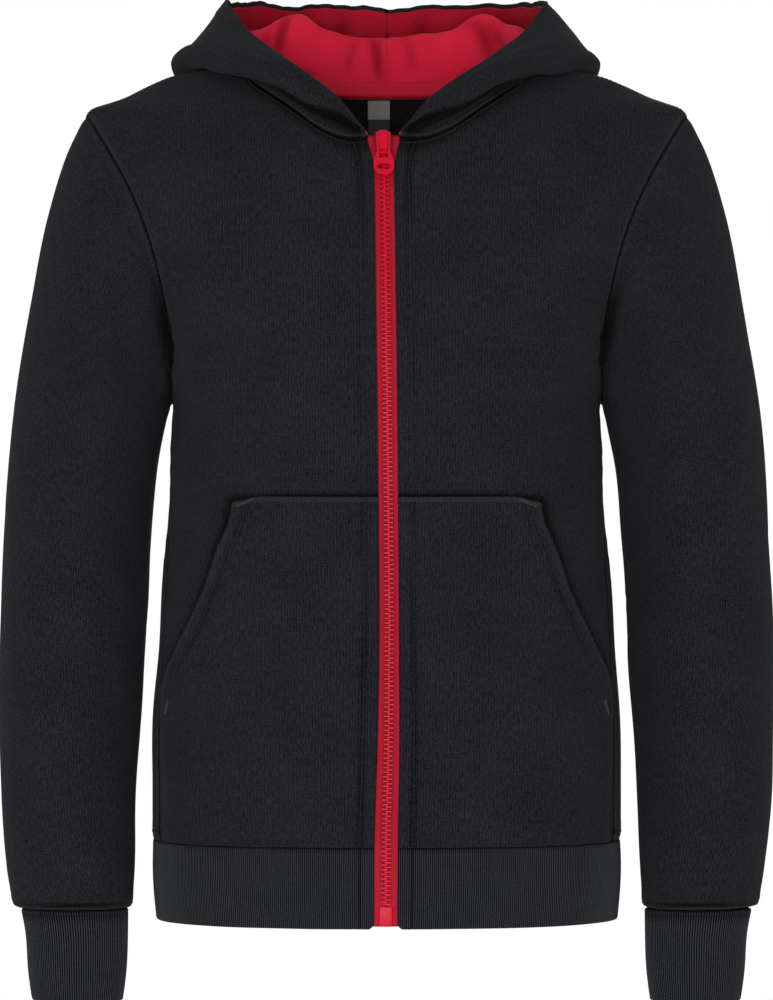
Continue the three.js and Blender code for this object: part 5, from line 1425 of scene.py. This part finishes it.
def pocket_cloth(side_name, side):
    """One pocket half: sewn down along the top, zip, side and waistband, open at the mouth."""
    mouth = turned(border_on_body(POCKET_SIDE, -1, 500))
    z = np.linspace(mouth.points[0][2], POCKET_TOP, 300)
    edge = face_line(front_edge_x(z) + 0.4, z)
    bottom = level_line(edge.points[0], mouth.points[0])
    top = level_line(edge.points[-1], mouth.points[-1])
    base = panel_grid(bottom, top, edge, mouth, 38, 58)
    base[..., 2] -= 3.4 * fade((base[..., 0] - 76) / 18) * fade((base[..., 2] - POCKET_TOP + 34) / 30)
    base = onto_body(base)
    normal = body_normal(base)
    to_edge, to_mouth = run(base, 1)
    to_foot, to_top = run(base, 0)
    x, z = base[..., 0], base[..., 2]
    opening = fade((z - MOUTH_END) / 14) * fade((POCKET_TOP - z) / 10)
    along = np.clip((z - MOUTH_END) / (POCKET_TOP - MOUTH_END), 0, 1)
    sewn = least(to_top, to_edge, to_foot)
    held = np.where(opening > 0, fade(sewn / 11), 1) * (opening + (1 - opening) * fade(to_mouth / 10))
    lift = FLEECE + 0.25 + (POCKET_AIR - 0.25) * held
    lift = lift + POCKET_LIFT * fade(1 - to_mouth / 40) * np.sqrt(np.sin(np.pi * along))
    seed = 71 if side > 0 else 72
    free = fade(sewn / 10) * fade(to_mouth / 6)
    relief = crease(x, z, CREASES["front_" + side_name]) * fade(to_mouth / 7) * fade(to_edge / 12)
    relief += swell(x, z, seed, 60, 0.55) * free
    relief += ripple(z, seed + 2, 12, 0.2) * bell(to_mouth, 8, 7) * free
    relief += ripple(x, seed + 4, 11, 0.2) * bell(to_top, 0, 8) * fade(to_top / 2)
    above_foot = fade((z - HEM_FOLD) / 20)
    relief -= 0.5 * bell(to_mouth, MOUTH_STITCH, 0.9) * above_foot
    relief += 0.3 * (1 - fade((to_mouth - 9.6) / 1.2)) * above_foot
    relief = relief - 0.35 * bell(to_edge, POCKET_STITCH, 0.8) + 0.3 * (1 - fade((to_edge - 8) / 1.2))
    surface = base + normal * (lift + relief)[..., None]
    surface[..., 1] -= GAP / 2
    # Painted shade in the valley above the pocket's top and at its mouth's edge, with painted highlights
    # on the ridges beside them, and painted shade along the mouth and edge stitch lines.
    painted_shading = 1.1 * bell(to_top, 0, 1.1) - 0.8 * bell(to_top, 2.8, 1.0)
    painted_shading = painted_shading + 0.9 * bell(to_mouth, 0, 1.1) - 0.3 * bell(to_mouth, 3, 2.0)
    painted_shading = painted_shading + 0.35 * bell(to_mouth, MOUTH_STITCH, 0.9) + 0.4 * bell(to_edge, POCKET_STITCH, 0.9)
    outer, _ = cloth_sheet(
        "pocket_" + side_name, surface, -normal, least(to_edge, to_mouth, to_foot, to_top), FLEECE,
        panel_uv(base, -1) * np.array([side, 1]), fleece, side, painted_shading=painted_shading)
    faces = outer, mirrored(normal, side)
    group = "stitches_pocket_" + side_name
    sew_line(group, faces, to_top, 1.6, 0, slice(3, -3), pitch=2.8)
    rows = np.where((z[:, -1] > HEM_FOLD + 4) & (z[:, -1] < POCKET_TOP - 1))[0]
    sew_line(group, faces, to_mouth, MOUTH_STITCH, 1, rows, pitch=2.8)
    sew_line(group, faces, to_edge, POCKET_STITCH, 1, slice(3, -3), pitch=3.0)
    low = np.where(z[:, -1] < MOUTH_END)[0]
    sew_line(group, faces, to_mouth, 1.8, 1, low[2:], pitch=2.8)
    for start, end in BAR_TACKS:
        bar_tack("tacks_pocket_" + side_name, np.array(start), np.array(end), faces, side)


def bar_tack(group, start, end, faces, side):
    """A dense row of short stitches laid across the line between two places (x, z)."""
    surface, normal = (p.reshape(-1, 3) for p in faces)
    along = (end - start) / np.linalg.norm(end - start)
    across = np.array([-along[1], along[0]])
    for share in np.linspace(0, 1, 15):
        place = start + (end - start) * share
        gap = np.linalg.norm(surface[:, [0, 2]] * np.array([side, 1]) - place, axis=-1)
        near = np.argsort(gap)[:4]
        weight = 1 / (gap[near] + 0.05)
        y = (surface[near, 1] * weight).sum() / weight.sum()
        out = unit(normal[near].mean(0))
        ends = [place - across * 1.2, place, place + across * 1.2]
        path = np.array([(e[0] * side, y, e[1]) for e in ends]) + out * 0.2
        sew(group, path, np.repeat(out[None], 3, 0), pitch=2.4, length=2.3, radius=0.3)


# ---------------------------------------------------------------- zip
def zip_frame(z):
    """Point on the front's middle line and its outward normal, at height z."""
    p = np.stack([0 * z, -body_front(z), z], -1)
    return p, body_normal(p)


def zip_point(x, z, depth):
    p, n = zip_frame(z)
    q = p - n * np.asarray(depth)[..., None]
    q[..., 0] += x
    return q


def zip_tape_cloth(side_name, side):
    """One woven tape, with a cord edge under the teeth."""
    # Rows lie closer where the tape's inner edge steps in above the box.
    above_box = np.linspace(-530, ZIP_TOP, 166)
    z_rows = np.concatenate([np.linspace(ZIP_FOOT, -532, 6), [-531.4, -530.9], above_box])
    share = np.array([0, 0.02, 0.05, 0.12, 0.2, 0.32, 0.5, 0.7, 0.88, 0.97, 1])
    z = np.repeat(z_rows[:, None], len(share), 1)
    inner_x = tape_inner(z)
    edge = TAPE_EDGE - 4.0 * fade((z + 59) / 5)
    x = inner_x + share * (edge - inner_x)
    d = least(x - inner_x, edge - x, z - ZIP_FOOT, ZIP_TOP - z)
    cord = 0.35 * bell(x, np.maximum(inner_x + 1, 4), 0.9) + ripple(z, 81, 16, 0.12) * fade(d / 2)
    sink = rolled(d, TAPE)
    outer = mirrored(zip_point(x, z, TAPE_DEPTH - cord + sink), side)
    inner = mirrored(zip_point(x, z, TAPE_DEPTH - cord + TAPE - sink), side)
    # Painted shade down the tape's inner edge, where it lies under the teeth and shows between them.
    painted_shading = 0.75 * bell(x, inner_x, 3.0) * fade((z + 530) / 3)
    uv = np.stack([x * side, z], -1)
    node = "zip_tape_" + side_name
    piece = shell(node + "_cloth", outer, inner, uv, painted_shading=painted_shading)
    finished(piece, tape_red, [node])


def zip_teeth():
    """Moulded teeth in two staggered rows: a waisted outline in four rings and two caps."""
    pitch = 2.9
    outline = np.array([
        (3.3, -0.62), (3.3, 0.62), (1.9, 0.62), (0.9, 0.5), (0.2, 0.68), (-0.7, 0.66),
        (-1.1, 0.3), (-1.1, -0.3), (-0.7, -0.66), (0.2, -0.68), (0.9, -0.5), (1.9, -0.62),
    ])
    depths = ((0.0, 0.72), (0.32, 1.0), (2.9, 1.0), (3.2, 0.8))
    chain_foot, chain_top, first = -531.0, -58.0, -529.4
    count = int((chain_top - chain_foot - GAP) / pitch)
    teeth = []
    for side, shift in ((1, 0.0), (-1, pitch / 2)):
        foot = first + shift + pitch * np.arange(count)
        tooth = []
        for depth, size in depths:
            x = side * (outline[:, 0] * size + (1 - size) * 1.2)
            z = foot[:, None] + (outline[:, 1] * size)[None]
            level = np.full_like(z, TAPE_DEPTH - CHAIN_RISE + depth)
            tooth.append(zip_point(np.repeat(x[None], count, 0), z, level))
        teeth.append(np.stack(tooth, 1))
    size, bands = len(outline), len(depths) - 1
    quads = tube_quads(size, bands)
    ring = np.arange(size)
    ends = ring[::-1][None], bands * size + ring[None]
    faces, caps = [], []
    for k, order in ((0, 1), (1, -1)):
        offset = (np.arange(count) + k * count)[:, None, None] * (size * len(depths))
        faces.append((quads[:, ::order][None] + offset).reshape(-1, 4))
        caps += [(cap[:, ::order][None] + offset).reshape(-1, size) for cap in ends]
    polygons = [np.concatenate(faces), np.concatenate(caps)]
    piece = put_mesh("zip_teeth", np.concatenate(teeth).reshape(-1, 3), polygons, smooth=False)
    finished(piece, plastic_red, ["zip_chain"])


def rounded_copy(node, width, body):
    """A zip part: a copy of its solid with its doubles merged and its edges rounded."""
    work = bmesh.new()
    work.from_mesh(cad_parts[node].data)
    bmesh.ops.remove_doubles(work, verts=work.verts, dist=1e-6)
    bmesh.ops.dissolve_limit(work, angle_limit=0.02, verts=work.verts, edges=work.edges)
    sharp = [e for e in work.edges if len(e.link_faces) == 2 and e.calc_face_angle(0) > 0.5]
    bmesh.ops.bevel(
        work, geom=sharp, offset=width * MM, segments=3, profile=0.5, affect="EDGES", clamp_overlap=True)
    mesh = bpy.data.meshes.new(node + "_rounded")
    work.to_mesh(mesh)
    work.free()
    mesh.polygons.foreach_set("use_smooth", np.full(len(mesh.polygons), True))
    piece = bpy.data.objects.new(node + "_rounded", mesh)
    bpy.context.scene.collection.objects.link(piece)
    mesh.set_sharp_from_angle(angle=0.9)
    finished(piece, plastic_red, [node], body)


# ---------------------------------------------------------------- neck tape and labels
def neck_tape_cloth():
    """Tape over the back neck seam: three lines below, over and above the seam, on its inside.
    Gives the middle of its lower edge at the back."""
    hood_grid, hood_normal, hood_s, hood_t = hood_grids()
    start = 1 / 3  # of the way from the shoulder to the middle of the back
    share = stations(neck_back.length * (1 - start), 40) * (1 - start) + start
    p = neck_back(share)
    normal = body_normal(onto_body(p + np.array([0, 1e-3, 0])))
    along = unit(np.gradient(p, axis=0))
    away = unit(np.cross(along, normal))
    away = away * np.where(away[:, 2:] > 0, -1, 1)
    row, top_row = (int(np.argmin(np.abs(hood_t[:, 0] - t))) for t in (0.06, 0.085))

    def beside(field):
        s = 0.5 + 0.5 * share
        return np.stack([np.interp(s, hood_s[0], field[:, k]) for k in range(3)], -1)

    into_hood = unit(beside(hood_normal[row]))
    rise = unit(beside(hood_grid[top_row]) - beside(hood_grid[0]))
    clear = HOOD_CLOTH + LINING_AIR + LINING_CLOTH + GAP + TAPE + 0.6
    low = p + away * 1.6 - normal * (FLEECE + GAP + TAPE + 0.6)
    bend = unit(-normal - into_hood)
    middle = p + bend * clear * 1.25
    high = p + rise * 6 - into_hood * clear
    half = np.stack([low, middle, high])
    into = np.stack([normal, -bend, into_hood])
    both = np.concatenate([half, mirrored(half[:, :-1], -1)[:, ::-1]], 1)
    both_in = np.concatenate([into, mirrored(into[:, :-1], -1)[:, ::-1]], 1)
    rows = stations(12.0, 4, np.array([0, 0.15, 0.45, 1.0, 2.0]))
    outer0 = curve([0, 0.5, 1], both, tight=False)(rows)
    into0 = unit(curve([0, 0.5, 1], both_in, tight=False)(rows))
    across, back = run(outer0, 1)
    down, up = run(outer0, 0)
    rim = least(across, back, down, up)
    wave = ripple(across, 91, 14, 0.15) * fade(rim / 2)
    surface = outer0 - into0 * wave[..., None]
    uv = np.stack([down, across], -1)
    outer, _ = cloth_sheet("neck_tape", surface, into0, rim, TAPE, uv, tape_red)
    faces = outer, -into0
    for field in (down, up):
        sew_line("stitches_neck_tape", faces, field, 1.3, 0, slice(2, -2), pitch=2.8, radius=0.2)
    return low[-1]


def label_cloth(name, look, y, top, height, curl, seed):
    """A bare label: a flat strip that curls a little towards its lower edge."""
    near = np.array([0, 0.12, 0.35, 0.8])
    u = stations(LABEL_WIDTH, 8, near) * LABEL_WIDTH
    v = stations(height, int(height / 1.5), near) * height
    across, down = np.meshgrid(u, v)
    share = down / height
    bend = -curl * share**2 + 0.25 * np.sin(share * 5 + seed) * share * (across / LABEL_WIDTH - 0.4)
    surface = np.stack([LABEL_X - LABEL_WIDTH / 2 + across, y + bend, top - down], -1)
    rim = least(across, LABEL_WIDTH - across, down, height - down)
    normal = -grid_normals(surface)
    normal = normal * np.where(normal[..., 1:2] > 0, -1, 1)
    cloth_sheet(name, surface, -normal, rim, TAPE, np.stack([across, down], -1), look)


# ---------------------------------------------------------------- making the pieces
back_cloth()
for side_name, side in (("left", 1), ("right", -1)):
    for make in (front_cloth, sleeve_cloth, cuff_cloth, pocket_cloth, hood_cloth, zip_tape_cloth):
        make(side_name, side)
waistband_cloth()
zip_teeth()
rounded_copy("zip_box", 0.5, "garment")
rounded_copy("zip_slider", 0.35, "garment")
rounded_copy("zip_pull", 0.4, "pull")
_, tape_y, tape_foot = neck_tape_cloth()
label_cloth("size_label", satin_grey, tape_y - 0.3, tape_foot - GAP, 12.7, 0.3, 1)
label_cloth("care_label", satin_black, tape_y + TAPE, tape_foot - GAP, 34, 0.6, 2)
for group, runs in stitch_runs.items():
    red = "lining" in group or "neck" in group
    thread = thread_red if red else thread_grey if "tacks" in group else thread_black
    stitch_piece(group, runs, thread)

# ---------------------------------------------------------------- floor and surroundings
floor_mesh = bpy.data.meshes.new("floor")
corners = [(-5, -5, -1.2), (5, -5, -1.2), (5, 5, -1.2), (-5, 5, -1.2)]
floor_mesh.from_pydata(corners, [], [(0, 1, 2, 3)])
floor = bpy.data.objects.new("floor", floor_mesh)
bpy.context.scene.collection.objects.link(floor)
floor_look = Look("pale_floor", 0.9)
place = floor_look.node("ShaderNodeTexCoord", {}, {}, 3)
cloud = floor_look.noise(place, 3, 2)
floor_look.give("Base Color", floor_look.blend(cloud, (0.82, 0.82, 0.82), (0.86, 0.86, 0.86)))
floor.data.materials.append(floor_look.material)

world = bpy.data.worlds.new("studio")
bpy.context.scene.world = world
world.use_nodes = True
background = world.node_tree.nodes["Background"]
background.inputs["Color"].default_value = (1, 1, 1, 1)
# White behind the garment, and dimmer all round, most of all above.
sky = Tree(world.node_tree)
towards = sky.node("ShaderNodeTexCoord", {}, {}, 3)
behind = sky.node("ShaderNodeSeparateXYZ", {}, {0: towards}, 1)
above = Value(sky, behind.socket.node.outputs[2])
smooth = {"interpolation_type": "SMOOTHSTEP"}
white = sky.node("ShaderNodeMapRange", smooth, {0: behind, 1: 0.93, 2: 0.985})
around = 0.40 - above * 0.14
sky.tree.links.new((around + white * (1.0 - around)).socket, background.inputs["Strength"])
